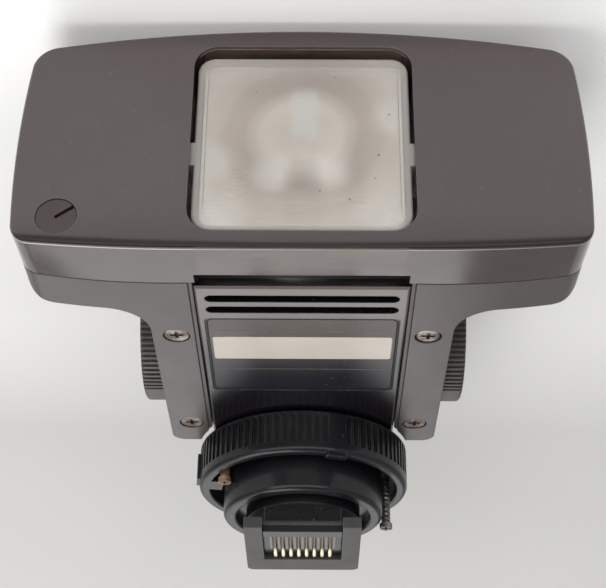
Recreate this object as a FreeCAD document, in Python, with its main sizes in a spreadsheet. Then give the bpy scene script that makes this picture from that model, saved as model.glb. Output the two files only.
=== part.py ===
import FreeCAD, Part
import Sketcher
import math
import os
import re

# A small light for a camera shoe: a T-shaped head with a window, tilting on a base that stands on the foot.
# Millimetres. The origin is the centre of the shoe foot's underside, +Z is up and the window faces -Y.

os.makedirs("parts", exist_ok=True)
doc = FreeCAD.newDocument("shoe_light")
V = FreeCAD.Vector

DIMENSIONS = (
    # the shoe foot, its contact pocket and the neck above it
    ("foot_width", "18.5"),
    ("foot_length", "20.1"),
    ("foot_thickness", "1.8"),
    ("foot_corner", "1.2"),
    ("pocket_width", "12.7"),
    ("pocket_length", "15"),
    ("pocket_depth", "1.25"),
    ("neck_width", "12.3"),
    ("neck_length", "15"),
    ("neck_height", "2.7"),
    # the contact carrier and its springs
    ("carrier_play", "0.1"),
    ("carrier_floor", "0.4"),
    ("bar_setback", "2.05"),
    ("bar_length", "2.4"),
    ("contact_count", "8"),
    ("contact_pitch", "1.27"),
    ("contact_width", "0.6"),
    ("contact_sheet", "0.16"),
    ("contact_reach", "10.2"),
    ("contact_low", "0.06"),
    # the collar that joins the foot to the base
    ("collar_radius", "13.04"),
    ("lip_level", "5.25"),
    ("lip_width", "2.1"),
    ("lip_recess", "1.5"),
    ("lip_round", "0.8"),
    ("boss_radius", "9.3"),
    ("collar_floor", "3"),
    ("collar_wall", "2.2"),
    ("spigot_height", "1.2"),
    # the lock ring round the collar, and the two screws that keep it there
    ("ring_radius", "17.2"),
    ("ring_level", "9.98"),
    ("ring_gap", "0.3"),
    ("ring_play", "0.08"),
    ("rim_height", "1.7"),
    ("rim_round", "0.8"),
    ("pad_angle", "-71.5"),
    ("rim_wall", "1.8"),
    ("web_level", "13"),
    ("web_thickness", "2"),
    ("groove_count", "84"),
    ("plain_grooves", "2"),
    ("groove_depth", "0.45"),
    ("groove_width", "0.86"),
    ("ring_lip", "0.5"),
    ("lock_turn", "60"),
    ("tab_width", "3"),
    ("tab_height", "4.4"),
    ("tab_proud", "0.45"),
    ("nub_width", "3.6"),
    ("nub_drop", "0.55"),
    ("lug_width", "3.4"),
    ("lug_height", "1.9"),
    ("screw_circle", "14.2"),
    ("keeper_shank", "0.6"),
    ("keeper_head", "1.05"),
    ("keeper_head_height", "0.8"),
    ("keeper_bite", "2.6"),
    ("keeper_drop_left", "3.2"),
    ("keeper_drop_right", "7.2"),
    ("slot_play", "0.05"),
    ("keeper_left", "207"),
    ("keeper_right", "14"),
    # the base block between the head's legs
    ("underside_level", "17.35"),
    ("block_width", "29.2"),
    ("block_front", "54.85"),
    ("cover_sheet", "1.6"),
    ("block_wall", "1.3"),
    ("nose_height", "3.8"),
    ("nose_length", "8.5"),
    ("deck_height", "9.6"),
    ("tail_height", "6.1"),
    ("barrel_radius", "12.2"),
    ("vent_length", "26.6"),
    ("vent_width", "1.85"),
    ("vent_setback", "3"),
    ("vent_step", "3.05"),
    ("plate_width", "27.4"),
    ("plate_length", "22.8"),
    ("plate_setback", "8.55"),
    ("plate_depth", "0.4"),
    ("plate_sheet", "0.3"),
    ("plate_play", "0.1"),
    ("board_length", "11.3"),
    ("board_width", "24"),
    ("board_sheet", "1"),
    ("board_lift", "1.2"),
    # the tilt pivot, its axle and the knobs on it
    ("pivot_setback", "20"),
    ("pivot_height", "13.15"),
    ("axle_radius", "2"),
    ("axle_play", "0.05"),
    ("knob_radius", "12"),
    ("knob_width", "3.2"),
    ("knob_gap", "0.2"),
    ("knob_face", "1"),
    ("knob_dish", "0.4"),
    ("knob_edge", "0.6"),
    ("rib_count", "90"),
    ("rib_turn", "268"),
    ("rib_depth", "0.35"),
    ("rib_gap", "0.46"),
    ("washer_radius", "6"),
    ("washer_sheet", "0.5"),
    ("knob_washer_radius", "4.5"),
    # the head's outline: parting line, face, wings and legs
    ("slot_play_side", "0.15"),
    ("slot_wall", "0.55"),
    ("parting_setback", "56"),
    ("face_setback", "66.8"),
    ("wing_depth", "7.4"),
    ("wing_half", "37.6"),
    ("side_lean", "0.45"),
    ("face_draft", "0.45"),
    ("wing_rise", "1.7"),
    ("wing_sweep", "110"),
    ("side_top_level", "48.3"),
    ("side_sweep", "150"),
    ("top_sweep", "190"),
    ("face_bottom_level", "16.35"),
    ("face_rise", "1"),
    ("face_sweep", "245"),
    ("face_top_level", "48.25"),
    ("face_top_sweep", "190"),
    ("head_corner", "4"),
    ("low_corner", "2.8"),
    ("parting_gap", "0.2"),
    ("face_edge", "0.5"),
    ("wing_corner", "3.5"),
    ("wing_fillet", "5.8"),
    ("leg_half", "21.45"),
    ("leg_end", "4.7"),
    ("leg_corner", "2"),
    ("leg_heel", "1.5"),
    ("stem_crown", "14.1"),
    ("shell_wall", "1.5"),
    ("split_level", "22"),
    ("ring_relief", "0.3"),
    ("roof_lip", "8.1"),
    # the screws that hold the lower covers
    ("cover_screw_x", "17.95"),
    ("cover_screw_front", "41.1"),
    ("cover_screw_rear", "11.26"),
    ("cover_screw_shank", "0.9"),
    ("cover_screw_head", "1.75"),
    ("cover_screw_head_height", "0.7"),
    ("cover_screw_length", "7"),
    ("cover_screw_play", "0.05"),
    ("cover_screw_boss", "1.9"),
    ("cross_width", "0.5"),
    ("cross_length", "1.9"),
    ("cross_depth", "0.45"),
    # the bezel, its window and the slotted lock
    ("bezel_wall", "1.6"),
    ("opening_half", "14.85"),
    ("opening_bottom", "18.95"),
    ("opening_top", "48.85"),
    ("opening_corner", "3.4"),
    ("tunnel_wall", "0.8"),
    ("tunnel_depth", "3"),
    ("notch_half", "14.3"),
    ("notch_depth", "2.6"),
    ("lock_inset", "6.1"),
    ("lock_level", "21"),
    ("lock_radius", "2.65"),
    ("lock_play", "0.06"),
    ("lock_recess", "0.15"),
    ("lock_length", "5.5"),
    ("lock_slot", "0.5"),
    ("lock_shaft", "1.2"),
    # the window lens
    ("lens_half", "14.4"),
    ("lens_recess", "1.3"),
    ("lens_play", "0.95"),
    ("lens_sheet", "1.1"),
    ("lens_skirt", "6.3"),
    ("lens_wall", "1"),
    ("lens_edge", "0.35"),
    ("clip_height", "3.6"),
    ("clip_drop", "2"),
    # the reflector, the lamp and what holds them
    ("lamp_level", "33.7"),
    ("bowl_radius", "13"),
    ("bowl_depth", "8.3"),
    ("bowl_sheet", "0.7"),
    ("bowl_curve", "14"),
    ("bowl_setback", "58.1"),
    ("bulb_radius", "2.8"),
    ("bulb_length", "10.5"),
    ("bulb_hole", "3.3"),
    ("socket_radius", "4.2"),
    ("socket_length", "5"),
    ("bracket_sheet", "0.8"),
    ("bracket_height", "7.4"),
)

PLACES = (
    ("foot_front", "-foot_length / 2"),
    ("foot_rear", "foot_length / 2"),
    ("boss_level", "foot_thickness + neck_height"),
    ("cup_level", "boss_level + collar_floor"),
    ("pocket_rear", "foot_front + pocket_length"),
    ("bar_front", "foot_front + bar_setback"),
    ("bar_rear", "bar_front + bar_length"),
    ("spring_root", "pocket_depth - carrier_floor"),
    ("spring_bend", "bar_rear + contact_reach * 0.74"),
    ("spring_back", "bar_rear + contact_reach * 0.84"),
    ("spring_tip", "bar_rear + contact_reach"),
    ("ring_top", "underside_level - ring_gap"),
    ("web_top", "web_level + web_thickness"),
    ("rim_inner", "ring_radius - rim_wall"),
    ("block_half", "block_width / 2"),
    ("cover_top", "underside_level + cover_sheet"),
    ("pivot_y", "-pivot_setback"),
    ("pivot_z", "underside_level + pivot_height"),
    ("slot_inner", "block_half + slot_play_side"),
    ("slot_outer", "slot_inner + slot_wall"),
    ("parting_y", "-parting_setback"),
    ("face_y", "-face_setback"),
    ("wing_rear", "parting_y + wing_depth"),
    ("wing_level", "underside_level + wing_rise"),
    ("side_top_half", "wing_half - side_lean"),
    ("face_half", "wing_half - face_draft"),
    ("face_top_half", "wing_half - side_lean - face_draft"),
    ("lock_x", "lock_inset - wing_half"),
    ("face_level", "face_bottom_level + face_rise"),
    ("leg_rear", "-leg_end"),
    ("stem_top", "pivot_z + stem_crown"),
    ("knob_inner", "leg_half + knob_gap"),
    ("knob_outer", "knob_inner + knob_width"),
    ("lens_y", "face_y + lens_recess"),
    ("lens_rear", "lens_y + lens_sheet + lens_skirt"),
    ("lens_bottom", "opening_bottom + lens_play"),
    ("lens_top", "opening_top - lens_play"),
    ("bowl_y", "-bowl_setback"),
    ("bowl_rear", "bowl_y + bowl_depth"),
    ("socket_y", "bowl_rear + bowl_sheet + bracket_sheet"),
    ("plate_front", "plate_setback - block_front"),
    ("board_front", "nose_length - block_front + block_wall + 0.4"),
)

# the sheet names of the angles at which the two keeper screws stand
KEEPERS = ("keeper_left", "keeper_right")

WORDS = {}


# sheets and bound values

def fill_sheet(label, rows, formula):
    sheet = doc.addObject("Spreadsheet::Sheet", label)
    for row, (alias, text) in enumerate(rows, start=1):
        cell = "B%d" % row
        sheet.set("A%d" % row, alias)
        sheet.set(cell, "=" + tie(text) if formula else text)
        sheet.setAlias(cell, alias)
        WORDS[alias] = label + "." + alias
        if formula:
            sheet.recompute()
    doc.recompute()
    return sheet


def tie(text):
    # puts the sheet's name before each alias in a formula
    return re.sub(r"[a-z_]+", lambda found: WORDS.get(found.group(), found.group()), str(text))


def size(text):
    # the value of a formula now
    return float(dims.evalExpression(tie(text)))


def bind(target, path, text):
    target.setExpression(path, tie(text))


# sketches

def new_body(label):
    body = doc.addObject("PartDesign::Body", label)
    body.Label = label
    return body


def base_feature(body, role):
    return next(item for item in body.Origin.OriginFeatures if item.Role == role)


def new_sketch(body, plane, shift="0"):
    sketch = body.newObject("Sketcher::SketchObject", body.Label + "_sketch")
    sketch.AttachmentSupport = [(base_feature(body, plane + "_Plane"), "")]
    sketch.MapMode = "FlatFace"
    if shift != "0":
        bind(sketch, "AttachmentOffset.Base.z", shift)
    return sketch


def pin_point(sketch, index, end, across, up, only=None):
    for kind, axis, text in (("DistanceX", -2, across), ("DistanceY", -1, up)):
        if only and kind != only:
            continue
        if text == "0":
            sketch.addConstraint(Sketcher.Constraint("PointOnObject", index, end, axis))
        else:
            number = sketch.addConstraint(Sketcher.Constraint(kind, -1, 1, index, end, size(text)))
            bind(sketch, "Constraints[%d]" % number, text)


def halfway(first, second):
    return first if first == second else "((%s) + (%s)) / 2" % (first, second)


def hold_arc(sketch, index, point, following, radius):
    # a half circle is held by its centre, half way along its chord, and any other arc by its radius
    chord = V(size(following[0]) - size(point[0]), size(following[1]) - size(point[1]), 0)
    if chord.Length < 2 * size(radius) - 1e-6:
        number = sketch.addConstraint(Sketcher.Constraint("Radius", index, size(radius)))
        bind(sketch, "Constraints[%d]" % number, radius)
    else:
        middle = [halfway(first, second) for first, second in zip(point, following)]
        pin_point(sketch, index, 3, middle[0], middle[1], "DistanceY" if abs(chord.x) > abs(chord.y) else "DistanceX")


def add_circle(sketch, across, up, radius):
    middle = V(size(across), size(up), 0)
    index = sketch.addGeometry(Part.Circle(middle, V(0, 0, 1), size(radius)))
    pin_point(sketch, index, 3, across, up)
    number = sketch.addConstraint(Sketcher.Constraint("Radius", index, size(radius)))
    bind(sketch, "Constraints[%d]" % number, radius)


def sign(number):
    return "+" if number > 0 else "-"


def round_corner(before, here, after):
    # the two tangent points of a rounded corner between a level line and an upright one
    x, y, radius = here
    ends = []
    for other in (before, after):
        dx = size(other[0]) - size(x)
        dy = size(other[1]) - size(y)
        if abs(dx) > abs(dy):
            ends.append(("(%s) %s (%s)" % (x, sign(dx), radius), y))
        else:
            ends.append((x, "(%s) %s (%s)" % (y, sign(dy), radius)))
    turn_in = V(size(x) - size(ends[0][0]), size(y) - size(ends[0][1]), 0)
    turn_out = V(size(ends[1][0]) - size(x), size(ends[1][1]) - size(y), 0)
    left = turn_in.cross(turn_out).z > 0
    return ends[0], ends[1], radius, left


def arc_between(start, end, radius, left):
    chord = end - start
    half = chord.Length / 2
    rise = math.sqrt(max(radius * radius - half * half, 0))
    side = V(-chord.y, chord.x, 0).normalize() * (1 if left else -1)
    middle = (start + end) * 0.5 + side * rise
    first, last = (start, end) if left else (end, start)
    angles = [math.atan2(point.y - middle.y, point.x - middle.x) for point in (first, last)]
    return Part.ArcOfCircle(Part.Circle(middle, V(0, 0, 1), radius), angles[0], angles[1])


def add_outline(sketch, corners):
    # corners are (x, y), (x, y, radius) for a rounded one, or (x, y, "bow", radius, turn) where a wide
    # arc leads on to the next corner, turning "left" or "right"
    steps = []
    count = len(corners)
    for number, corner in enumerate(corners):
        if len(corner) == 3:
            first, last, radius, left = round_corner(corners[number - 1], corner, corners[(number + 1) % count])
            steps.append((first, radius, left))
            steps.append((last, None, None))
        elif len(corner) == 5:
            steps.append((corner[:2], corner[3], corner[4] == "left"))
        else:
            steps.append((corner, None, None))
    first_index = None
    before = None
    for number, (point, radius, left) in enumerate(steps):
        following = steps[(number + 1) % len(steps)][0]
        start = V(size(point[0]), size(point[1]), 0)
        end = V(size(following[0]), size(following[1]), 0)
        shape = Part.LineSegment(start, end) if radius is None else arc_between(start, end, size(radius), left)
        index = sketch.addGeometry(shape)
        # an arc always runs anticlockwise, so one that turns right starts at its far end
        here, there = (1, 2) if radius is None or left else (2, 1)
        pin_point(sketch, index, here, point[0], point[1])
        if radius is not None:
            hold_arc(sketch, index, point, following, radius)
        if before is None:
            first_index, first_end = index, here
        else:
            sketch.addConstraint(Sketcher.Constraint("Coincident", before[0], before[1], index, here))
        before = (index, there)
    sketch.addConstraint(Sketcher.Constraint("Coincident", before[0], before[1], first_index, first_end))


def box_corners(left, right, low, high):
    return [(left, low), (right, low), (right, high), (left, high)]


def rounded_box(left, right, low, high, radius):
    return [(left, low, radius), (right, low, radius), (right, high, radius), (left, high, radius)]


def slot_corners(middle_x, middle_y, length, width):
    # a slot along X with full-round ends
    left = "(%s) - (%s) / 2 + (%s) / 2" % (middle_x, length, width)
    right = "(%s) + (%s) / 2 - (%s) / 2" % (middle_x, length, width)
    low = "(%s) - (%s) / 2" % (middle_y, width)
    high = "(%s) + (%s) / 2" % (middle_y, width)
    radius = "(%s) / 2" % width
    return [(left, low), (right, low, "bow", radius, "left"), (right, high), (left, high, "bow", radius, "left")]


def outline_sketch(body, plane, shift, *outlines):
    sketch = new_sketch(body, plane, shift)
    for corners in outlines:
        add_outline(sketch, corners)
    return sketch


def circle_sketch(body, plane, shift, *circles):
    sketch = new_sketch(body, plane, shift)
    for across, up, radius in circles:
        add_circle(sketch, across, up, radius)
    return sketch


# features

def extrude(body, sketch, length, cut=False, back=False, both=False):
    kind = "PartDesign::Pocket" if cut else "PartDesign::Pad"
    feature = body.newObject(kind, body.Label + ("_cut" if cut else "_pad"))
    feature.Profile = sketch
    bind(feature, "Length", length)
    if both:
        feature.SideType = "Symmetric"
    # a pocket runs against its sketch's normal, so it is turned to run the way a pad does
    feature.Reversed = (not back) if cut else back
    return settle(body, feature, cut)


def settle(body, feature, cut=False):
    earlier = body.Tip.Shape.Volume if cut and body.Tip and body.Tip != feature else None
    before = feature.BaseFeature.Shape.Volume if getattr(feature, "BaseFeature", None) else earlier
    doc.recompute()
    if cut and before is not None and feature.Shape.Volume > before - 1e-6:
        raise RuntimeError(body.Label + ": a cut removed nothing")
    return feature


def revolve(body, sketch, axis, cut=False):
    kind = "PartDesign::Groove" if cut else "PartDesign::Revolution"
    feature = body.newObject(kind, body.Label + "_turned")
    feature.Profile = sketch
    feature.ReferenceAxis = (base_feature(body, axis + "_Axis"), [""])
    feature.Angle = 360
    return settle(body, feature, cut)


def repeat_round(body, original, axis, count, turn):
    pattern = body.newObject("PartDesign::PolarPattern", body.Label + "_round")
    pattern.Originals = [original]
    pattern.Axis = (base_feature(body, axis + "_Axis"), [""])
    bind(pattern, "Angle", turn)
    bind(pattern, "Occurrences", count)
    body.Tip = pattern
    return settle(body, pattern)


def repeat_along(body, originals, axis, count, length, back=False):
    pattern = body.newObject("PartDesign::LinearPattern", body.Label + "_row")
    pattern.Originals = originals
    pattern.Direction = (base_feature(body, axis + "_Axis"), [""])
    pattern.Reversed = back
    bind(pattern, "Length", length)
    bind(pattern, "Occurrences", count)
    body.Tip = pattern
    return settle(body, pattern)


def mirror(body, originals, plane):
    pattern = body.newObject("PartDesign::Mirrored", body.Label + "_mirrored")
    pattern.Originals = originals
    pattern.MirrorPlane = (base_feature(body, plane + "_Plane"), [""])
    body.Tip = pattern
    return settle(body, pattern)


def edge_names(shape, wanted):
    return ["Edge%d" % number for number, edge in enumerate(shape.Edges, start=1) if wanted(edge)]


def soften(body, wanted, radius, kind="Fillet"):
    names = edge_names(body.Tip.Shape, wanted)
    if not names:
        raise RuntimeError(body.Label + ": no edge to soften")
    feature = body.newObject("PartDesign::" + kind, body.Label + "_edge")
    feature.Base = (feature.BaseFeature or body.Tip, names)
    bind(feature, "Radius" if kind == "Fillet" else "Size", radius)
    return settle(body, feature)


def near(value, text, slack=0.01):
    return abs(value - size(text)) < slack


def runs_along(edge, direction, least=0.99):
    span = edge.Vertexes[-1].Point - edge.Vertexes[0].Point
    return len(edge.Vertexes) == 2 and span.Length > 1e-6 and abs(span.normalize().dot(direction)) > least


# the foot and what stands on it

def make_shoe_foot():
    body = new_body("shoe_foot")
    half = "foot_width / 2"
    plate = [("-(%s)" % half, "foot_front"), (half, "foot_front"),
             (half, "foot_rear", "foot_corner"), ("-(%s)" % half, "foot_rear", "foot_corner")]
    extrude(body, outline_sketch(body, "XY", "0", plate), "foot_thickness")
    neck = box_corners("-neck_width / 2", "neck_width / 2", "-neck_length / 2", "neck_length / 2")
    extrude(body, outline_sketch(body, "XY", "foot_thickness", neck), "neck_height")
    pocket = box_corners("-pocket_width / 2", "pocket_width / 2", "foot_front - 1", "pocket_rear")
    extrude(body, outline_sketch(body, "XY", "0", pocket), "pocket_depth", cut=True)
    # ahead of the contacts' bar the pocket goes right through the plate
    mouth = box_corners("-pocket_width / 2", "pocket_width / 2", "foot_front - 1", "bar_front")
    extrude(body, outline_sketch(body, "XY", "0", mouth), "foot_thickness", cut=True)
    return body


def make_contact_carrier():
    body = new_body("contact_carrier")
    half = "(pocket_width / 2 - carrier_play)"
    floor_level = "pocket_depth - carrier_floor"
    floor = box_corners("-" + half, half, "bar_front", "pocket_rear - carrier_play")
    extrude(body, outline_sketch(body, "XY", floor_level, floor), "carrier_floor")
    bar = box_corners("-" + half, half, "bar_front", "bar_rear")
    extrude(body, outline_sketch(body, "XY", "carrier_play", bar), "%s - carrier_play" % floor_level)
    gap = "(contact_pitch - contact_width - 0.2)"
    first = "-(contact_count * contact_pitch + %s) / 2" % gap
    rib = box_corners(first, "%s + %s" % (first, gap), "bar_rear - 0.1", "bar_rear + 4.6")
    ribs = extrude(body, outline_sketch(body, "XY", "carrier_play * 4", rib), "%s - carrier_play * 4" % floor_level)
    repeat_along(body, [ribs], "X", "contact_count + 1", "contact_count * contact_pitch")
    return body


def make_contact_springs():
    body = new_body("contact_springs")
    root, sheet = "spring_root", "contact_sheet"
    bend, back, tip = "spring_bend", "spring_back", "spring_tip"
    low = "contact_low"
    strip = [("bar_rear", "%s - %s" % (root, sheet)), (bend, low), (back, low), (tip, "%s - %s" % (root, sheet)),
             (tip, root), (back, "%s + %s" % (low, sheet)), (bend, "%s + %s" % (low, sheet)), ("bar_rear", root)]
    left = "-(contact_count - 1) * contact_pitch / 2 - contact_width / 2"
    strip_pad = extrude(body, outline_sketch(body, "YZ", left, strip), "contact_width")
    repeat_along(body, [strip_pad], "X", "contact_count", "(contact_count - 1) * contact_pitch")
    return body


def make_shoe_collar():
    body = new_body("shoe_collar")
    inner = "collar_radius - lip_width"
    bore = "collar_radius - collar_wall"
    profile = [("0", "boss_level"), ("boss_radius", "boss_level"), ("boss_radius", "lip_level + lip_recess"),
               (inner, "lip_level + lip_recess"), (inner, "lip_level"), ("collar_radius", "lip_level"),
               ("collar_radius", "underside_level"), (bore, "underside_level"), (bore, "cup_level"),
               ("0", "cup_level")]
    revolve(body, outline_sketch(body, "XZ", "0", profile), "Z")
    on_lip = lambda edge, radius: near(edge.BoundBox.ZMax, "lip_level") and near(edge.BoundBox.XMax, radius, 0.02)
    soften(body, lambda edge: on_lip(edge, "collar_radius"), "lip_round")
    soften(body, lambda edge: on_lip(edge, inner), "lip_round / 2")
    holes = circle_sketch(body, "XY", "boss_level", ("-neck_width / 3", "0", "0.75"), ("neck_width / 3", "0", "0.75"))
    extrude(body, holes, "collar_floor", cut=True)
    wire_way = circle_sketch(body, "XY", "boss_level", ("0", "neck_length / 3", "1.5"))
    extrude(body, wire_way, "collar_floor", cut=True)
    return body


def make_foot_screws():
    body = new_body("foot_screws")
    side = "neck_width / 3"
    extrude(body, circle_sketch(body, "XY", "cup_level", (side, "0", "1.3")), "0.9")
    extrude(body, circle_sketch(body, "XY", "boss_level", (side, "0", "0.7")), "collar_floor")
    cross = box_corners("%s - 0.8" % side, "%s + 0.8" % side, "-0.2", "0.2")
    extrude(body, outline_sketch(body, "XY", "cup_level + 0.5", cross), "0.4", cut=True)
    mirror(body, solid_features(body), "YZ")
    return body


def solid_features(body):
    kinds = ("PartDesign::Pad", "PartDesign::Pocket", "PartDesign::Revolution", "PartDesign::Groove")
    return [item for item in body.Group if item.TypeId in kinds]


def make_lock_ring():
    body = new_body("lock_ring")
    hub = "collar_radius + ring_play"
    profile = [("rim_inner", "ring_level"), ("ring_radius", "ring_level"), ("ring_radius", "ring_top"),
               ("rim_inner", "ring_top"), ("rim_inner", "web_top"), (hub, "web_top"), (hub, "web_level"),
               ("rim_inner", "web_level")]
    revolve(body, outline_sketch(body, "XZ", "0", profile), "Z")
    ends = ("ring_level", "ring_top")
    for level, radius in zip(ends, ("rim_round", "0.35")):
        outer_edge = lambda edge: (near(edge.BoundBox.XMax, "ring_radius", 0.02)
                                   and near(edge.BoundBox.ZMax, level) and near(edge.BoundBox.ZMin, level))
        soften(body, outer_edge, radius)
    inner_edge = lambda edge: near(edge.BoundBox.XMax, "rim_inner", 0.02) and near(edge.BoundBox.ZMax, "ring_level")
    soften(body, inner_edge, "0.3")
    groove = box_corners("ring_radius - groove_depth", "ring_radius + 1", "-groove_width / 2", "groove_width / 2")
    groove_sketch = outline_sketch(body, "XY", "ring_level + rim_height", groove)
    turn_sketch(groove_sketch, "pad_angle + 360 / groove_count * (plain_grooves + 1) / 2")
    cut = extrude(body, groove_sketch, "ring_top - ring_lip - ring_level - rim_height", cut=True)
    grooves = "groove_count - plain_grooves"
    repeat_round(body, cut, "Z", grooves, "360 * (%s - 1) / groove_count" % grooves)
    add_ring_tab(body)
    for keeper in KEEPERS:
        cut_ring_slot(body, keeper)
    return body


def turn_sketch(sketch, angle):
    # turns a level sketch about the ring's axis
    bind(sketch, "AttachmentOffset.Rotation.Angle", angle)


def add_ring_tab(body):
    tab = box_corners("ring_radius - 1", "ring_radius + tab_proud", "-tab_width / 2", "tab_width / 2")
    tab_sketch = outline_sketch(body, "XY", "ring_level + 0.9", tab)
    turn_sketch(tab_sketch, "186")
    extrude(body, tab_sketch, "tab_height")
    nub = rounded_box("rim_inner + 0.25", "ring_radius - 0.2", "-nub_width / 2", "nub_width / 2", "0.5")
    nub_sketch = outline_sketch(body, "XY", "ring_level - nub_drop", nub)
    turn_sketch(nub_sketch, "pad_angle")
    extrude(body, nub_sketch, "nub_drop + rim_round + 0.2")
    soften(body, lambda edge: near(edge.BoundBox.ZMax, "ring_level - nub_drop"), "0.25")
    lug = box_corners("collar_radius + 0.35", "ring_radius - 1", "-lug_width / 2", "lug_width / 2")
    lug_sketch = outline_sketch(body, "XY", "ring_level", lug)
    turn_sketch(lug_sketch, "190")
    extrude(body, lug_sketch, "lug_height")


def on_circle(radius, angle):
    return "(%s) * cos(%s)" % (radius, angle), "(%s) * sin(%s)" % (radius, angle)


def cut_ring_slot(body, start):
    # an arc slot in the web, as long as the ring turns, with a keeper screw at its end
    half = "(keeper_shank + slot_play)"
    end = "%s + lock_turn" % start
    outline = [on_circle("screw_circle + " + half, start) + ("bow", "screw_circle + " + half, "left"),
               on_circle("screw_circle + " + half, end) + ("bow", half, "left"),
               on_circle("screw_circle - " + half, end) + ("bow", "screw_circle - " + half, "right"),
               on_circle("screw_circle - " + half, start) + ("bow", half, "left")]
    extrude(body, outline_sketch(body, "XY", "web_level", outline), "web_thickness", cut=True)


def make_ring_screws():
    body = new_body("ring_screws")
    for keeper, drop in zip(KEEPERS, ("keeper_drop_left", "keeper_drop_right")):
        spot = on_circle("screw_circle", keeper)
        under = "web_level - slot_play - %s" % drop
        extrude(body, circle_sketch(body, "XY", under, spot + ("keeper_shank",)),
                "web_thickness + ring_gap + keeper_bite + 2 + %s" % drop)
        extrude(body, circle_sketch(body, "XY", under, spot + ("keeper_head",)), "keeper_head_height", back=True)
        for wide, long in (("0.7", "0.16"), ("0.16", "0.7")):
            cross = box_corners("%s - %s" % (spot[0], wide), "%s + %s" % (spot[0], wide),
                                "%s - %s" % (spot[1], long), "%s + %s" % (spot[1], long))
            extrude(body, outline_sketch(body, "XY", under + " - keeper_head_height", cross), "0.35", cut=True)
    return body


def cut_keeper_holes(body, level, depth):
    for keeper in KEEPERS:
        spot = on_circle("screw_circle", keeper) + ("keeper_shank + 0.02",)
        extrude(body, circle_sketch(body, "XY", level, spot), depth, cut=True)


# the base block

def block_plan(inset, front):
    # a straight-sided block with a round rear end about the ring's axis
    half = "(block_half - (%s))" % inset
    return [("-" + half, front), (half, front), (half, "0", "bow", half, "left"), ("-" + half, "0")]


def make_base_cover():
    body = new_body("base_cover")
    extrude(body, outline_sketch(body, "XY", "underside_level", block_plan("0", "-block_front")), "cover_sheet")
    sides = lambda edge: near(edge.BoundBox.ZMax, "underside_level") and edge.BoundBox.YMin < -1
    soften(body, sides, "0.3", "Chamfer")
    first = "vent_setback - block_front"
    vents = outline_sketch(body, "XY", "underside_level", slot_corners("0", first, "vent_length", "vent_width"))
    vent = extrude(body, vents, "cover_sheet", cut=True)
    repeat_along(body, [vent], "Y", "2", "vent_step")
    recess = rounded_box("-plate_width / 2", "plate_width / 2", "plate_front", "plate_front + plate_length", "0.8")
    extrude(body, outline_sketch(body, "XY", "underside_level", recess), "plate_depth", cut=True)
    for side in ("-1", "1"):
        rail = box_corners("%s * board_width / 2 - 0.6" % side, "%s * board_width / 2 + 0.6" % side,
                           "board_front", "board_front + board_length")
        extrude(body, outline_sketch(body, "XY", "cover_top", rail), "board_lift")
    cut_keeper_holes(body, "underside_level", "cover_sheet")
    extrude(body, circle_sketch(body, "XY", "underside_level", ("0", "0", "collar_radius - collar_wall")),
            "cover_sheet", cut=True)
    return body


def make_rating_plate():
    body = new_body("rating_plate")
    half = "(plate_width / 2 - plate_play)"
    outline = rounded_box("-" + half, half, "plate_front + plate_play",
                          "plate_front + plate_length - plate_play", "0.7")
    extrude(body, outline_sketch(body, "XY", "underside_level + plate_depth - plate_sheet", outline), "plate_sheet")
    return body


def make_base_block():
    body = new_body("base_block")
    nose = "underside_level + nose_height"
    deck = "underside_level + deck_height"
    tail = "underside_level + tail_height"
    nose_end = "nose_length - block_front"
    profile = [("-block_front", "cover_top"), ("block_half", "cover_top"), ("block_half", tail),
               ("pivot_y", tail), ("pivot_y", deck), (nose_end, deck), (nose_end, nose), ("-block_front", nose)]
    extrude(body, outline_sketch(body, "YZ", "-block_half", profile), "block_width")
    extrude(body, circle_sketch(body, "YZ", "-block_half", ("pivot_y", "pivot_z", "barrel_radius")), "block_width")
    below = box_corners("-block_half - 1", "block_half + 1", "-block_front - 1", "block_half + 1")
    extrude(body, outline_sketch(body, "XY", "0", below), "cover_top", cut=True)
    # the rear end is rounded about the ring's axis
    far = "(block_half + 5)"
    outside = [("-" + far, "0"), ("-block_half", "0", "bow", "block_half", "right"),
               ("block_half", "0"), (far, "0"), (far, far), ("-" + far, far)]
    extrude(body, outline_sketch(body, "XY", "cover_top", outside), "deck_height + 40", cut=True)
    inner = "(block_half - block_wall)"
    low_room = box_corners("-" + inner, inner, "block_wall - block_front", "%s + 0.01" % nose_end)
    extrude(body, outline_sketch(body, "XY", "cover_top", low_room), "nose_height - cover_sheet - 1", cut=True)
    high_room = box_corners("-" + inner, inner, nose_end + " + block_wall", "pivot_y - barrel_radius - 0.3")
    extrude(body, outline_sketch(body, "XY", "cover_top", high_room), "deck_height - cover_sheet - block_wall", cut=True)
    step = box_corners("-" + inner, inner, nose_end + " - 1", nose_end + " + block_wall + 1")
    extrude(body, outline_sketch(body, "XY", "cover_top", step), "nose_height - cover_sheet - 1", cut=True)
    extrude(body, circle_sketch(body, "XY", "cover_top", ("0", "0", "collar_radius - collar_wall")),
            "tail_height - cover_sheet - block_wall", cut=True)
    cut_keeper_holes(body, "cover_top", "keeper_bite")
    extrude(body, circle_sketch(body, "YZ", "-block_half", ("pivot_y", "pivot_z", "axle_radius")), "block_width", cut=True)
    for start in ("-block_half", "block_half - washer_sheet"):
        extrude(body, circle_sketch(body, "YZ", start, ("pivot_y", "pivot_z", "washer_radius + 0.05")),
                "washer_sheet", cut=True)
    return body


def make_driver_board():
    body = new_body("driver_board")
    half = "board_width / 2"
    outline = box_corners("-(%s)" % half, half, "board_front", "board_front + board_length")
    extrude(body, outline_sketch(body, "XY", "cover_top + board_lift", outline), "board_sheet")
    return body


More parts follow.
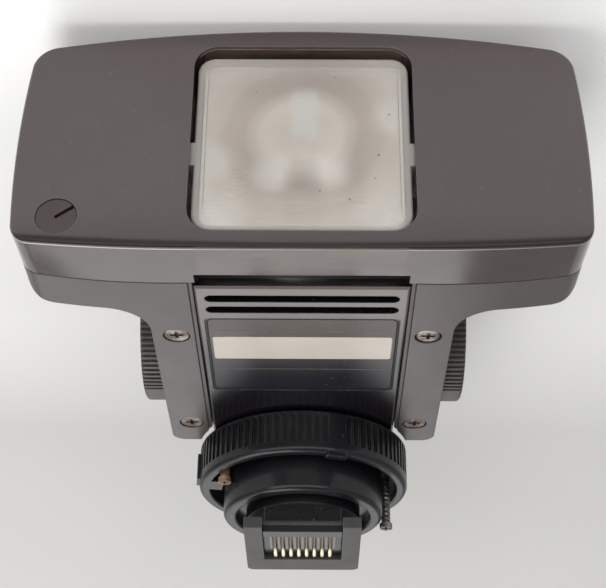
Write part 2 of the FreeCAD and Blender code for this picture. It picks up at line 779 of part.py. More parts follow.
def make_board_parts():
    body = new_body("board_parts")
    level = "cover_top + board_lift + board_sheet"
    middle = "board_front + board_length / 2"
    extrude(body, circle_sketch(body, "XY", level, ("-board_width / 3", middle, "2")), "2.6")
    extrude(body, circle_sketch(body, "XY", level, ("board_width / 3", middle, "2.4")), "1.8")
    chip = box_corners("-2.6", "2.6", "%s - 1.7" % middle, "%s + 1.7" % middle)
    extrude(body, outline_sketch(body, "XY", level, chip), "1.4")
    return body


# the knobs at the ends of the axle, drawn about the X axis and then moved to the pivot

def at_pivot(body):
    bind(body, "Placement.Base.y", "pivot_y")
    bind(body, "Placement.Base.z", "pivot_z")
    return body


def make_tilt_axle():
    body = new_body("tilt_axle")
    reach = "(knob_outer - knob_face - 0.1)"
    extrude(body, circle_sketch(body, "YZ", "-" + reach, ("0", "0", "axle_radius")), "2 * " + reach)
    return at_pivot(body)


def make_friction_washers():
    body = new_body("friction_washers")
    ring = (("0", "0", "washer_radius"), ("0", "0", "axle_radius + 0.02"))
    extrude(body, circle_sketch(body, "YZ", "block_half - washer_sheet", *ring), "washer_sheet + slot_play_side - 0.05")
    mirror(body, solid_features(body), "YZ")
    return at_pivot(body)


def make_knob_washers():
    body = new_body("knob_washers")
    ring = (("0", "0", "knob_washer_radius"), ("0", "0", "axle_radius + axle_play"))
    extrude(body, circle_sketch(body, "YZ", "leg_half", *ring), "knob_gap - 0.05")
    mirror(body, solid_features(body), "YZ")
    return at_pivot(body)


def make_knob(label, side):
    body = new_body(label)
    start = "knob_inner" if side > 0 else "-knob_outer"
    outer = "knob_outer" if side > 0 else "-knob_outer"
    extrude(body, circle_sketch(body, "YZ", start, ("0", "0", "knob_radius")), "knob_width")
    soften(body, lambda edge: near(edge.BoundBox.XMin, outer) and near(edge.BoundBox.XMax, outer), "knob_edge")
    dish_start = "knob_outer - knob_dish" if side > 0 else "-knob_outer"
    extrude(body, circle_sketch(body, "YZ", dish_start, ("0", "0", "knob_radius * 0.7")), "knob_dish", cut=True)
    bore_start = "knob_inner" if side > 0 else "-knob_outer + knob_face"
    bore = ("0", "0", "axle_radius + axle_play")
    extrude(body, circle_sketch(body, "YZ", bore_start, bore), "knob_width - knob_face", cut=True)
    angle = "(-96)"
    gap = [("(knob_radius - rib_depth) * cos%s - rib_gap / 2" % angle, "(knob_radius - rib_depth) * sin%s" % angle),
           ("(knob_radius - rib_depth) * cos%s + rib_gap / 2" % angle, "(knob_radius - rib_depth) * sin%s" % angle),
           ("(knob_radius + 0.5) * cos%s + rib_gap / 2" % angle, "(knob_radius + 0.5) * sin%s" % angle),
           ("(knob_radius + 0.5) * cos%s - rib_gap / 2" % angle, "(knob_radius + 0.5) * sin%s" % angle)]
    cut = extrude(body, outline_sketch(body, "YZ", start, [gap[3], gap[0], gap[1], gap[2]]), "knob_width", cut=True)
    pattern = repeat_round(body, cut, "X", "rib_turn * rib_count / 360", "rib_turn")
    pattern.Reversed = True
    doc.recompute()
    return at_pivot(body)


# Part objects bound to the sheets

def block(label, x0, x1, y0, y1, z0, z1):
    item = doc.addObject("Part::Box", label)
    for path, text in (("Placement.Base.x", x0), ("Placement.Base.y", y0), ("Placement.Base.z", z0),
                       ("Length", "(%s) - (%s)" % (x1, x0)), ("Width", "(%s) - (%s)" % (y1, y0)),
                       ("Height", "(%s) - (%s)" % (z1, z0))):
        bind(item, path, text)
    return item


TURNS = {"X": FreeCAD.Rotation(V(0, 1, 0), 90), "Y": FreeCAD.Rotation(V(1, 0, 0), -90), "Z": FreeCAD.Rotation()}


def rod(label, axis, start, radius, length):
    # a cylinder that starts at a point and runs along one axis
    item = doc.addObject("Part::Cylinder", label)
    item.Placement = FreeCAD.Placement(V(0, 0, 0), TURNS[axis])
    for name, text in zip("xyz", start):
        bind(item, "Placement.Base." + name, text)
    bind(item, "Radius", radius)
    bind(item, "Height", length)
    return item


def fuse(label, *items):
    item = doc.addObject("Part::MultiFuse", label)
    item.Shapes = list(items)
    item.Refine = True
    doc.recompute()
    return item


def common(label, *items):
    item = doc.addObject("Part::MultiCommon", label)
    item.Shapes = list(items)
    item.Refine = True
    doc.recompute()
    return item


def cut_from(label, base, *tools):
    item = doc.addObject("Part::Cut", label)
    item.Base = base
    item.Tool = tools[0] if len(tools) == 1 else fuse(label + "_tools", *tools)
    item.Refine = True
    doc.recompute()
    if item.Shape.Volume > base.Shape.Volume - 1e-6:
        raise RuntimeError(label + ": a cut removed nothing")
    return item


# the head's outer form, which its housing and covers are cut from

def head_section(front, inset):
    # the head's outline across, flat between the legs and rising towards the wing tips
    if front:
        names = ("face_bottom_level", "face_half", "face_level", "face_top_half", "face_top_level", "face_top_sweep")
        low_sweep = "face_sweep"
    else:
        names = ("underside_level", "wing_half", "wing_level", "side_top_half", "side_top_level", "top_sweep")
        low_sweep = "wing_sweep"
    low, half, rise, top_half, top, sweep = names
    low, rise = "(%s + %s)" % (low, inset), "(%s + %s)" % (rise, inset)
    half, top_half, top = ["(%s - %s)" % (word, inset) for word in (half, top_half, top)]
    return [("-slot_outer", low), ("slot_outer", low, "bow", low_sweep, "left"),
            (half, rise, "bow", "side_sweep", "left"), (top_half, top, "bow", sweep, "left"),
            ("-" + top_half, top, "bow", "side_sweep", "left"), ("-" + half, rise, "bow", low_sweep, "left")]


def is_head_corner(edge, high):
    along = runs_along(edge, V(0, 1, 0), 0.96) and abs(edge.CenterOfMass.x) > size("slot_outer") + 5
    return along and (edge.CenterOfMass.z > size("pivot_z")) == high


def round_head_corners(body, inset):
    soften(body, lambda edge: is_head_corner(edge, True), "head_corner - " + inset)
    soften(body, lambda edge: is_head_corner(edge, False), "low_corner - " + inset)


def make_head_form(label, inset):
    across = new_body(label + "_across")
    front = "parting_setback" if inset == "0" else "parting_setback + 1"
    section = outline_sketch(across, "XZ", front, head_section(False, inset))
    extrude(across, section, front + " - leg_end + 2", back=True)
    round_head_corners(across, inset)
    wing, leg = "(wing_half - %s)" % inset, "(leg_half - %s)" % inset
    rear, step = "(leg_rear - %s)" % inset, "(wing_rear - %s)" % inset
    outer, inner = "wing_corner - " + inset, "wing_fillet + " + inset
    corner = "leg_corner - " + inset
    ahead = "-(%s)" % front
    plan = new_body(label + "_plan")
    outline = [("-" + wing, ahead), (wing, ahead), (wing, step, outer), (leg, step, inner), (leg, rear, corner),
               ("-" + leg, rear, corner), ("-" + leg, step, inner), ("-" + wing, step, outer)]
    extrude(plan, outline_sketch(plan, "XY", "0", outline), "pivot_z * 2.5")
    side = new_body(label + "_side")
    top = "(stem_top - %s)" % inset
    outline = [(ahead, "0"), (rear, "0"), (rear, top, "stem_crown - " + inset), (step, top, inner),
               (step, "pivot_z * 2.5"), (ahead, "pivot_z * 2.5")]
    extrude(side, outline_sketch(side, "YZ", "-wing_half - 5", outline), "wing_half * 2 + 10")
    return common(label, across, plan, side)


def cover_screw_spots():
    return [(x, y) for x in ("-cover_screw_x", "cover_screw_x") for y in ("-cover_screw_front", "-cover_screw_rear")]


def make_screw_parts(label, z0, radius, length):
    return [rod("%s_%d" % (label, number), "Z", (x, y, z0), radius, length)
            for number, (x, y) in enumerate(cover_screw_spots(), start=1)]


def make_upper_housing(outer, shell):
    above = cut_from("housing_above", shell, block("housing_below", "-60", "60", "parting_y - 2", "20", "0", "split_level"))
    walls = [block("slot_wall_left", "-slot_outer", "-slot_inner", "parting_y", "leg_rear", "underside_level + 0.2", "stem_top"),
             block("slot_wall_right", "slot_inner", "slot_outer", "parting_y", "leg_rear", "underside_level + 0.2", "stem_top")]
    bosses = make_screw_parts("housing_boss", "underside_level + shell_wall + 0.15", "cover_screw_boss",
                              "stem_top - underside_level - shell_wall")
    inside = common("housing_inside", outer, fuse("housing_walls", *(walls + bosses)))
    axle_way = rod("housing_axle_way", "X", ("-leg_half - 1", "pivot_y", "pivot_z"), "axle_radius + axle_play", "leg_half * 2 + 2")
    tail_way = block("housing_tail_way", "-slot_inner", "slot_inner", "pivot_y", "5", "0", "pivot_z + roof_lip")
    relief = rod("housing_relief", "Z", ("0", "0", "0"), "ring_radius + ring_relief", "split_level")
    pilots = make_screw_parts("housing_pilot", "underside_level", "cover_screw_shank", "cover_screw_length + 1.5")
    whole = fuse("housing_whole", above, inside)
    housing = cut_from("upper_housing", whole, axle_way, tail_way, relief, *pilots)
    return housing


def make_side_cover(label, side, shell):
    far, edge = ("-60", "-slot_outer - 0.05") if side < 0 else ("slot_outer + 0.05", "60")
    tray_room = block(label + "_room", far, edge, "parting_y", "20", "0", "split_level")
    tray = common(label + "_tray", shell, tray_room)
    relief = rod(label + "_relief", "Z", ("0", "0", "0"), "ring_radius + ring_relief", "split_level")
    tools = [relief]
    word = "-cover_screw_x" if side < 0 else "cover_screw_x"
    for number, y in enumerate(("-cover_screw_front", "-cover_screw_rear"), start=1):
        tools.append(rod("%s_head_way_%d" % (label, number), "Z", (word, y, "0"), "cover_screw_head + 0.2",
                         "underside_level + cover_screw_head_height + 0.1"))
        tools.append(rod("%s_shank_way_%d" % (label, number), "Z", (word, y, "0"), "cover_screw_shank + cover_screw_play",
                         "split_level"))
    return cut_from(label, tray, *tools)


def make_cover_screws():
    body = new_body("cover_screws")
    level = "underside_level + 0.1"
    x, y = "cover_screw_x", "-cover_screw_front"
    extrude(body, circle_sketch(body, "XY", level, (x, y, "cover_screw_head")), "cover_screw_head_height")
    rim = lambda edge: near(edge.BoundBox.ZMax, level) and near(edge.BoundBox.ZMin, level)
    soften(body, rim, "0.25")
    extrude(body, circle_sketch(body, "XY", level, (x, y, "cover_screw_shank")), "cover_screw_length")
    for long, wide in (("cross_length", "cross_width"), ("cross_width", "cross_length")):
        cross = box_corners("%s - %s / 2" % (x, long), "%s + %s / 2" % (x, long),
                            "%s - %s / 2" % (y, wide), "%s + %s / 2" % (y, wide))
        extrude(body, outline_sketch(body, "XY", level, cross), "cross_depth", cut=True)
    row = body.newObject("PartDesign::MultiTransform", "cover_screws_row")
    along = body.newObject("PartDesign::LinearPattern", "cover_screws_along")
    along.Direction = (base_feature(body, "Y_Axis"), [""])
    bind(along, "Length", "cover_screw_front - cover_screw_rear")
    along.Occurrences = 2
    over = body.newObject("PartDesign::Mirrored", "cover_screws_over")
    over.MirrorPlane = (base_feature(body, "YZ_Plane"), [""])
    row.Originals = solid_features(body)
    row.Transformations = [along, over]
    body.Tip = row
    doc.recompute()
    return body


# the bezel, the lock in its corner and the window

def make_bezel_form(label, inset):
    body = new_body(label)
    rear_at = "parting_setback + parting_gap" if inset == "0" else "parting_setback - 0.5"
    front_at = "face_setback - " + inset
    sections = []
    for at, front in ((rear_at, False), (front_at, True)):
        sections.append(outline_sketch(body, "XZ", at, head_section(front, inset)))
    loft = body.newObject("PartDesign::AdditiveLoft", label + "_loft")
    loft.Profile = sections[0]
    loft.Sections = [sections[1]]
    loft.Ruled = True
    settle(body, loft)
    round_head_corners(body, inset)
    return body


def make_front_bezel():
    outer = make_bezel_form("bezel_outer", "0")
    face_rim = lambda edge: near(edge.BoundBox.YMin, "face_y", 0.02) and near(edge.BoundBox.YMax, "face_y", 0.02)
    soften(outer, face_rim, "face_edge")
    notch = box_corners("-notch_half", "notch_half", "parting_y - notch_depth", "parting_y + 1")
    extrude(outer, outline_sketch(outer, "XY", "0", notch), "opening_bottom", cut=True)
    inner = make_bezel_form("bezel_inner", "bezel_wall")
    shell = cut_from("bezel_shell", outer, inner)
    tunnel_body = new_body("bezel_tunnel")
    tunnel = rounded_box("-opening_half - tunnel_wall", "opening_half + tunnel_wall", "opening_bottom - tunnel_wall",
                         "opening_top + tunnel_wall", "opening_corner + tunnel_wall")
    extrude(tunnel_body, outline_sketch(tunnel_body, "XZ", "parting_setback + notch_depth", tunnel),
            "face_setback - parting_setback - notch_depth - 0.8")
    opening_body = new_body("bezel_opening")
    opening = rounded_box("-opening_half", "opening_half", "opening_bottom", "opening_top", "opening_corner")
    extrude(opening_body, outline_sketch(opening_body, "XZ", "parting_setback", opening), "face_setback - parting_setback + 1")
    boss = rod("bezel_lock_boss", "Y", ("lock_x", "face_y + bezel_wall - 0.2", "lock_level"), "lock_radius + 0.25", "3.4")
    whole = fuse("bezel_whole", shell, tunnel_body, boss)
    seat = rod("bezel_lock_seat", "Y", ("lock_x", "face_y - 1", "lock_level"), "lock_radius + lock_play", "bezel_wall + 1")
    bore = rod("bezel_lock_bore", "Y", ("lock_x", "face_y - 1", "lock_level"), "lock_shaft + lock_play", "bezel_wall + 6")
    return cut_from("front_bezel", whole, opening_body, seat, bore)


def make_bezel_lock():
    body = new_body("bezel_lock")
    spot = ("0", "0")
    face_at = "face_setback - lock_recess"
    extrude(body, circle_sketch(body, "XZ", face_at, spot + ("lock_radius",)), "bezel_wall - lock_recess - 0.03", back=True)
    extrude(body, circle_sketch(body, "XZ", face_at, spot + ("lock_shaft",)), "lock_length", back=True)
    slot = box_corners("-0.2", "lock_radius + 1", "-lock_slot / 2", "lock_slot / 2")
    extrude(body, outline_sketch(body, "XZ", face_at, slot), "0.7", cut=True, back=True)
    body.Placement.Rotation = FreeCAD.Rotation(V(0, 1, 0), -36)
    bind(body, "Placement.Base.x", "lock_x")
    bind(body, "Placement.Base.z", "lock_level")
    return body


def make_window_lens():
    body = new_body("window_lens")
    sheet_at = "face_setback - lens_recess"
    outline = rounded_box("-lens_half", "lens_half", "lens_bottom", "lens_top", "opening_corner - lens_play")
    extrude(body, outline_sketch(body, "XZ", sheet_at, outline), "lens_sheet + lens_skirt", back=True)
    soften(body, lambda edge: near(edge.BoundBox.YMin, "lens_y") and near(edge.BoundBox.YMax, "lens_y"), "lens_edge")
    room = rounded_box("-lens_half + lens_wall", "lens_half - lens_wall", "lens_bottom + lens_wall",
                       "lens_top - lens_wall", "opening_corner - lens_play - lens_wall")
    extrude(body, outline_sketch(body, "XZ", sheet_at + " - lens_sheet", room), "lens_skirt", cut=True, back=True)
    for side in ("-", ""):
        inner, outer = "%s(lens_half - 0.2)" % side, "%sopening_half" % side
        left, right = (outer, inner) if side else (inner, outer)
        clip = box_corners(left, right, "lamp_level - clip_height / 2 - clip_drop", "lamp_level + clip_height / 2 - clip_drop")
        extrude(body, outline_sketch(body, "XZ", sheet_at, clip), "lens_sheet + lens_skirt", back=True)
    return body


# the reflector, the lamp and what holds them

def make_reflector():
    body = new_body("reflector")
    # the bowl is drawn about the Y axis and then raised to the lamp's level
    profile = [("bulb_hole", "bowl_rear", "bow", "bowl_curve", "right"), ("bowl_radius", "bowl_y"),
               ("bowl_radius + bowl_sheet", "bowl_y"), ("bowl_radius + bowl_sheet", "bowl_y + bowl_sheet", "bow", "bowl_curve", "left"),
               ("bulb_hole", "bowl_rear + bowl_sheet")]
    revolve(body, outline_sketch(body, "XY", "0", profile), "Y")
    flange = rounded_box("-lens_half", "lens_half", "-(lamp_level - lens_bottom)", "lens_top - lamp_level", "opening_corner - lens_play")
    flange_sketch = outline_sketch(body, "XZ", "bowl_setback", flange)
    add_circle(flange_sketch, "0", "0", "bowl_radius")
    extrude(body, flange_sketch, "bowl_sheet", back=True)
    bind(body, "Placement.Base.z", "lamp_level")
    return body


def make_lamp_bulb():
    body = new_body("lamp_bulb")
    rear = "socket_y"
    front = "(socket_y - bulb_length)"
    radius = "bulb_radius"
    profile = [("0", front, "bow", radius, "left"), (radius, "%s + %s" % (front, radius)), (radius, rear), ("0", rear)]
    revolve(body, outline_sketch(body, "XY", "0", profile), "Y")
    bind(body, "Placement.Base.z", "lamp_level")
    return body


def make_lamp_base():
    body = new_body("lamp_base")
    extrude(body, circle_sketch(body, "XZ", "-socket_y", ("0", "lamp_level", "socket_radius")), "socket_length", back=True)
    return body


def make_lamp_bracket():
    body = new_body("lamp_bracket")
    low, high = "lamp_level - bracket_height", "lamp_level + bracket_height"
    plate = box_corners("-slot_inner", "slot_inner", low, high)
    extrude(body, outline_sketch(body, "XZ", "-socket_y", plate), "bracket_sheet")
    hole = circle_sketch(body, "XZ", "-socket_y", ("0", "lamp_level", "bulb_radius + 0.05"))
    extrude(body, hole, "bracket_sheet", cut=True)
    return body


# everything, in one frame

def check_all():
    for item in doc.Objects:
        if {"Invalid", "Error"} & set(item.State):
            raise RuntimeError("%s is %s" % (item.Label, item.State))


def export_all(nodes):
    for node in nodes:
        shape = node.Shape
        if shape.isNull() or not shape.isValid() or not shape.Solids:
            raise RuntimeError(node.Label + " has no sound shape")
        shape.exportStep("parts/%s.step" % node.Label)
        box = shape.BoundBox
        print("%-18s %d solids  %7.2f..%-7.2f %7.2f..%-7.2f %7.2f..%-7.2f  %9.2f" % (
            node.Label, len(shape.Solids), box.XMin, box.XMax, box.YMin, box.YMax, box.ZMin, box.ZMax, shape.Volume))


dims = fill_sheet("dims", DIMENSIONS, False)
places = fill_sheet("places", PLACES, True)


def main():
    nodes = [make_shoe_foot(), make_contact_carrier(), make_contact_springs(), make_shoe_collar(), make_foot_screws(),
             make_lock_ring(), make_ring_screws(), make_base_cover(), make_rating_plate(), make_base_block(),
             make_driver_board(), make_board_parts(), make_friction_washers(), make_tilt_axle(),
             make_knob("left_knob", -1), make_knob("right_knob", 1), make_knob_washers()]
    outer = make_head_form("head_outer", "0")
    inner = make_head_form("head_inner", "shell_wall")
    shell = cut_from("head_shell", outer, inner)
    nodes.append(make_upper_housing(outer, shell))
    nodes.append(make_side_cover("left_cover", -1, shell))
    nodes.append(make_side_cover("right_cover", 1, shell))
    nodes += [make_cover_screws(), make_front_bezel(), make_bezel_lock(), make_window_lens(), make_reflector(),
              make_lamp_bulb(), make_lamp_base(), make_lamp_bracket()]
    doc.recompute()
    check_all()
    export_all(nodes)


main()
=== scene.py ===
import bpy
import bmesh
import math
from mathutils import Matrix, Vector


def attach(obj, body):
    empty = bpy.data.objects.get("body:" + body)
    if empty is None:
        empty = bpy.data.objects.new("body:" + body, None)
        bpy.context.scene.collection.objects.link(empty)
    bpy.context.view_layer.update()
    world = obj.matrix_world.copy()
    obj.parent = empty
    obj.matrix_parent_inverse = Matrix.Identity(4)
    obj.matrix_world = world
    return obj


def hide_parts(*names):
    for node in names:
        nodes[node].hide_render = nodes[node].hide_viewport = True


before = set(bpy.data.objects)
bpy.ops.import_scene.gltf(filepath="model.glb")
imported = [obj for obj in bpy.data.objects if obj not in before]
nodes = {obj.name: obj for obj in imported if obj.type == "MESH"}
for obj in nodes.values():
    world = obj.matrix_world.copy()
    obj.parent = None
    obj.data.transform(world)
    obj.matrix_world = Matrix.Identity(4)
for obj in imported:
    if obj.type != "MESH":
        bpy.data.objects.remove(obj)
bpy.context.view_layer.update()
scene = bpy.context.scene
mm = 0.001

# camera, matched to the photograph: the light is seen from below and in front
cameraSettings = {
    "place": (1.47 * mm, -215.73 * mm, -75.30 * mm),
    "right": (1.0000, 0.0040, 0.0074),
    "up": (-0.0044, -0.4955, 0.8686),
    "lens": 82.27,
    "sensor": 36.0,
}

# the table it lies on, top down: it touches the head's top and the stem's roof
tableSettings = {
    "headTop": (0, -62 * mm, 52.6 * mm),
    "stemTop": (0, -22 * mm, 44.75 * mm),
    "halfSize": 1.6,
    # painted light and shade: tone by the millimetre along Y, lightest at the front by the head and darker
    # towards the rear
    "tones": ((-66, (1.0, 1.0, 0.995)), (-46, (0.83, 0.83, 0.815)), (-2, (0.74, 0.735, 0.72)),
              (30, (0.55, 0.545, 0.53)), (80, (0.58, 0.575, 0.56))),
    "foldScale": 16,
    "foldShadeTone": (-0.16, 1.08),
    "roughness": 0.7,
    "specular": 0.2,
    "glossReach": (4 * mm, 12 * mm),    # a gloss that all but touches the table sees past it
}

roomSettings = {
    "up": (0, -0.172, -0.985),      # away from the table
    "overhead": (0.62, 0.63, 0.64),
    "overheadSpan": (-0.1, 0.8),
    "level": (0.30, 0.30, 0.31),
    "under": (0.60, 0.60, 0.59),
    "underSpan": (-0.2, -0.8),
    "strength": 1.0,
    "darkSide": (0.02, -0.66, -0.75),   # nothing lights the room over the camera
    "darkSpan": (0.78, 0.93),
    "darkTone": (0.05, 0.045, 0.045),
    "seen": (0.72, 0.72, 0.71),
}

lampSettings = {
    "ceiling": {"from": (-0.35, 0.05, -0.92), "size": (0.8, 0.6), "watts": 5.8, "tint": (1.0, 0.99, 0.97)},
    "farWindow": {"from": (-0.16, 0.66, -0.42), "size": (0.66, 0.50), "watts": 1.2, "tint": (1.0, 0.985, 0.97)},
    "front": {"from": (-0.12, -0.94, -0.18), "size": (1.6, 0.7), "watts": 8.0, "tint": (1.0, 0.985, 0.965)},
}


def makeCamera():
    data = bpy.data.cameras.new("photoCamera")
    data.lens = cameraSettings["lens"]
    data.sensor_width = cameraSettings["sensor"]
    data.clip_start = 0.01
    camera = bpy.data.objects.new("photoCamera", data)
    right = Vector(cameraSettings["right"]).normalized()
    up = Vector(cameraSettings["up"]).normalized()
    back = right.cross(up).normalized()
    up = back.cross(right)
    turn = Matrix((right, up, back)).transposed().to_4x4()
    camera.matrix_world = Matrix.Translation(Vector(cameraSettings["place"])) @ turn
    scene.collection.objects.link(camera)
    scene.camera = camera


def makeLamp(name, settings, target=Vector((0, -0.03, 0.02))):
    data = bpy.data.lights.new(name, "AREA")
    data.shape = "RECTANGLE"
    data.size, data.size_y = settings["size"]
    data.energy = settings["watts"]
    data.color = settings["tint"]
    lamp = bpy.data.objects.new(name, data)
    lamp.location = settings["from"]
    lamp.rotation_euler = (target - lamp.location).to_track_quat("-Z", "Y").to_euler()
    scene.collection.objects.link(lamp)


def addMath(tree, operation, *values, clamp=False):
    node = tree.nodes.new("ShaderNodeMath")
    node.operation = operation
    node.use_clamp = clamp
    for socket, value in zip(node.inputs, values):
        if isinstance(value, (int, float)):
            socket.default_value = value
        else:
            tree.links.new(value, socket)
    return node.outputs[0]


def addDot(tree, vector, direction):
    turn = tree.nodes.new("ShaderNodeVectorMath")
    turn.operation = "DOT_PRODUCT"
    tree.links.new(vector, turn.inputs[0])
    if isinstance(direction, tuple):
        turn.inputs[1].default_value = direction
    else:
        tree.links.new(direction, turn.inputs[1])
    return turn.outputs["Value"]


def addRange(tree, value, low, high, outLow, outHigh, smooth=False):
    spread = tree.nodes.new("ShaderNodeMapRange")
    if smooth:
        spread.interpolation_type = "SMOOTHSTEP"
    spread.inputs["From Min"].default_value = low
    spread.inputs["From Max"].default_value = high
    spread.inputs["To Min"].default_value = outLow
    spread.inputs["To Max"].default_value = outHigh
    tree.links.new(value, spread.inputs["Value"])
    return spread.outputs["Result"]


def addRamp(tree, value, stops, ease=False):
    ramp = tree.nodes.new("ShaderNodeValToRGB")
    if ease:
        ramp.color_ramp.interpolation = "EASE"
    for number, (at, colour) in enumerate(stops):
        stop = ramp.color_ramp.elements[number] if number < 2 else ramp.color_ramp.elements.new(1)
        stop.position = at
        stop.color = (*colour, 1)
    tree.links.new(value, ramp.inputs["Fac"])
    return ramp.outputs["Color"]


def addMix(tree, value, first, second):
    mix = tree.nodes.new("ShaderNodeMix")
    mix.data_type = "RGBA"
    tree.links.new(value, mix.inputs["Factor"])
    for socket, colour in ((mix.inputs[6], first), (mix.inputs[7], second)):
        if isinstance(colour, tuple):
            socket.default_value = (*colour, 1)
        else:
            tree.links.new(colour, socket)
    return mix.outputs[2]


def addNoise(tree, place, scale, detail=3.0, rough=0.5, stretch=None):
    if stretch:
        turn = tree.nodes.new("ShaderNodeMapping")
        turn.inputs["Scale"].default_value = stretch
        tree.links.new(place, turn.inputs["Vector"])
        place = turn.outputs["Vector"]
    noise = tree.nodes.new("ShaderNodeTexNoise")
    noise.inputs["Scale"].default_value = scale
    noise.inputs["Detail"].default_value = detail
    noise.inputs["Roughness"].default_value = rough
    tree.links.new(place, noise.inputs["Vector"])
    return noise.outputs["Fac"]


def addAxis(tree, place, axis):
    split = tree.nodes.new("ShaderNodeSeparateXYZ")
    tree.links.new(place, split.inputs[0])
    return split.outputs[axis]


def makeWorld():
    # a pale room, lighter overhead and underneath than at the sides; the camera sees an even tone
    values = roomSettings
    world = bpy.data.worlds.new("paleRoom")
    scene.world = world
    world.use_nodes = True
    tree = world.node_tree
    tree.nodes.clear()
    where = tree.nodes.new("ShaderNodeTexCoord").outputs["Generated"]
    lift = addDot(tree, where, values["up"])
    above = addRange(tree, lift, *values["overheadSpan"], 0, 1, smooth=True)
    below = addRange(tree, lift, *values["underSpan"], 0, 1, smooth=True)
    near = addRange(tree, addDot(tree, where, values["darkSide"]), *values["darkSpan"], 0, 1, smooth=True)
    tint = addMix(tree, above, values["level"], values["overhead"])
    tint = addMix(tree, below, tint, values["under"])
    tint = addMix(tree, near, tint, values["darkTone"])
    room = tree.nodes.new("ShaderNodeBackground")
    room.inputs["Strength"].default_value = values["strength"]
    tree.links.new(tint, room.inputs["Color"])
    seen = tree.nodes.new("ShaderNodeBackground")
    seen.inputs["Color"].default_value = (*values["seen"], 1)
    paths = tree.nodes.new("ShaderNodeLightPath")
    mix = tree.nodes.new("ShaderNodeMixShader")
    tree.links.new(paths.outputs["Is Camera Ray"], mix.inputs["Fac"])
    tree.links.new(room.outputs[0], mix.inputs[1])
    tree.links.new(seen.outputs[0], mix.inputs[2])
    out = tree.nodes.new("ShaderNodeOutputWorld")
    tree.links.new(mix.outputs[0], out.inputs["Surface"])


def tableTop():
    # painted where it is looked at from its own side, and clear for diffuse and shadow rays
    values = tableSettings
    material = bpy.data.materials.new("tableTop")
    material.use_nodes = True
    tree = material.node_tree
    tree.nodes.clear()
    place = tree.nodes.new("ShaderNodeTexCoord").outputs["Object"]
    first, last = values["tones"][0][0] * mm, values["tones"][-1][0] * mm
    stops = [((at * mm - first) / (last - first), tone) for at, tone in values["tones"]]
    # painted light and shade: the tone ramp along Y, times a soft painted shade of cloth folds
    fade = addRamp(tree, addRange(tree, addAxis(tree, place, "Y"), first, last, 0, 1), stops)
    foldShade = addMath(tree, "MULTIPLY_ADD", addNoise(tree, place, values["foldScale"], 1), *values["foldShadeTone"])
    soft = tree.nodes.new("ShaderNodeVectorMath")
    soft.operation = "SCALE"
    tree.links.new(fade, soft.inputs[0])
    tree.links.new(foldShade, soft.inputs["Scale"])
    paint = tree.nodes.new("ShaderNodeBsdfPrincipled")
    tree.links.new(soft.outputs["Vector"], paint.inputs["Base Color"])
    paint.inputs["Roughness"].default_value = values["roughness"]
    paint.inputs["Specular IOR Level"].default_value = values["specular"]
    paths = tree.nodes.new("ShaderNodeLightPath").outputs
    side = tree.nodes.new("ShaderNodeNewGeometry").outputs
    far = addRange(tree, paths["Ray Length"], *values["glossReach"], 0, 1, smooth=True)
    gloss = addMath(tree, "MULTIPLY", paths["Is Glossy Ray"], far)
    looks = addMath(tree, "ADD", paths["Is Camera Ray"], gloss, clamp=True)
    looks = addMath(tree, "ADD", looks, paths["Is Transmission Ray"], clamp=True)
    clear = tree.nodes.new("ShaderNodeBsdfTransparent")
    mix = tree.nodes.new("ShaderNodeMixShader")
    tree.links.new(addMath(tree, "SUBTRACT", looks, side["Backfacing"], clamp=True), mix.inputs["Fac"])
    tree.links.new(clear.outputs[0], mix.inputs[1])
    tree.links.new(paint.outputs[0], mix.inputs[2])
    out = tree.nodes.new("ShaderNodeOutputMaterial")
    tree.links.new(mix.outputs[0], out.inputs["Surface"])
    return material


def makeTable():
    head, stem = Vector(tableSettings["headTop"]), Vector(tableSettings["stemTop"])
    along = (head - stem).normalized() * tableSettings["halfSize"]
    across = Vector((tableSettings["halfSize"], 0, 0))
    corners = [stem + across * a + along * b for a, b in ((-1, -1), (-1, 1), (1, 1), (1, -1))]
    mesh = bpy.data.meshes.new("table")
    mesh.from_pydata([tuple(corner) for corner in corners], [], [(0, 1, 2, 3)])
    if mesh.polygons[0].normal.z > 0:
        mesh.flip_normals()
    table = bpy.data.objects.new("table", mesh)
    scene.collection.objects.link(table)
    mesh.materials.append(tableTop())


makeCamera()
makeWorld()
for lampName, settings in lampSettings.items():
    makeLamp(lampName, settings)
makeTable()
scene.view_settings.view_transform = "Standard"
print("stage: camera, lamps and table are in place")


# materials: every pattern reads the object's own coordinates

def startMaterial(name):
    material = bpy.data.materials.new(name)
    material.use_nodes = True
    tree = material.node_tree
    shader = tree.nodes["Principled BSDF"]
    place = tree.nodes.new("ShaderNodeTexCoord")
    return material, tree, shader, place.outputs["Object"]


def addSpan(tree, value, low, high, soft):
    # 1 between low and high, fading over soft on either side
    rise = addRange(tree, value, low - soft, low + soft, 0, 1, smooth=True)
    fall = addRange(tree, value, high - soft, high + soft, 1, 0, smooth=True)
    return addMath(tree, "MULTIPLY", rise, fall)


def addFlat(tree, place):
    # the place with its depth left out
    flat = tree.nodes.new("ShaderNodeVectorMath")
    flat.operation = "MULTIPLY"
    flat.inputs[1].default_value = (1, 0, 1)
    tree.links.new(place, flat.inputs[0])
    return flat.outputs["Vector"]


def addDistance(tree, place, centre):
    reach = tree.nodes.new("ShaderNodeVectorMath")
    reach.operation = "DISTANCE"
    reach.inputs[1].default_value = centre
    tree.links.new(place, reach.inputs[0])
    return reach.outputs["Value"]


def addSpot(tree, place, centre, radius, soft):
    # 1 within radius of a point, fading over soft
    return addRange(tree, addDistance(tree, place, centre), radius - soft, radius + soft, 1, 0, smooth=True)


def addBevel(tree, radius):
    bevel = tree.nodes.new("ShaderNodeBevel")
    bevel.samples = 4
    bevel.inputs["Radius"].default_value = radius
    return bevel.outputs["Normal"]


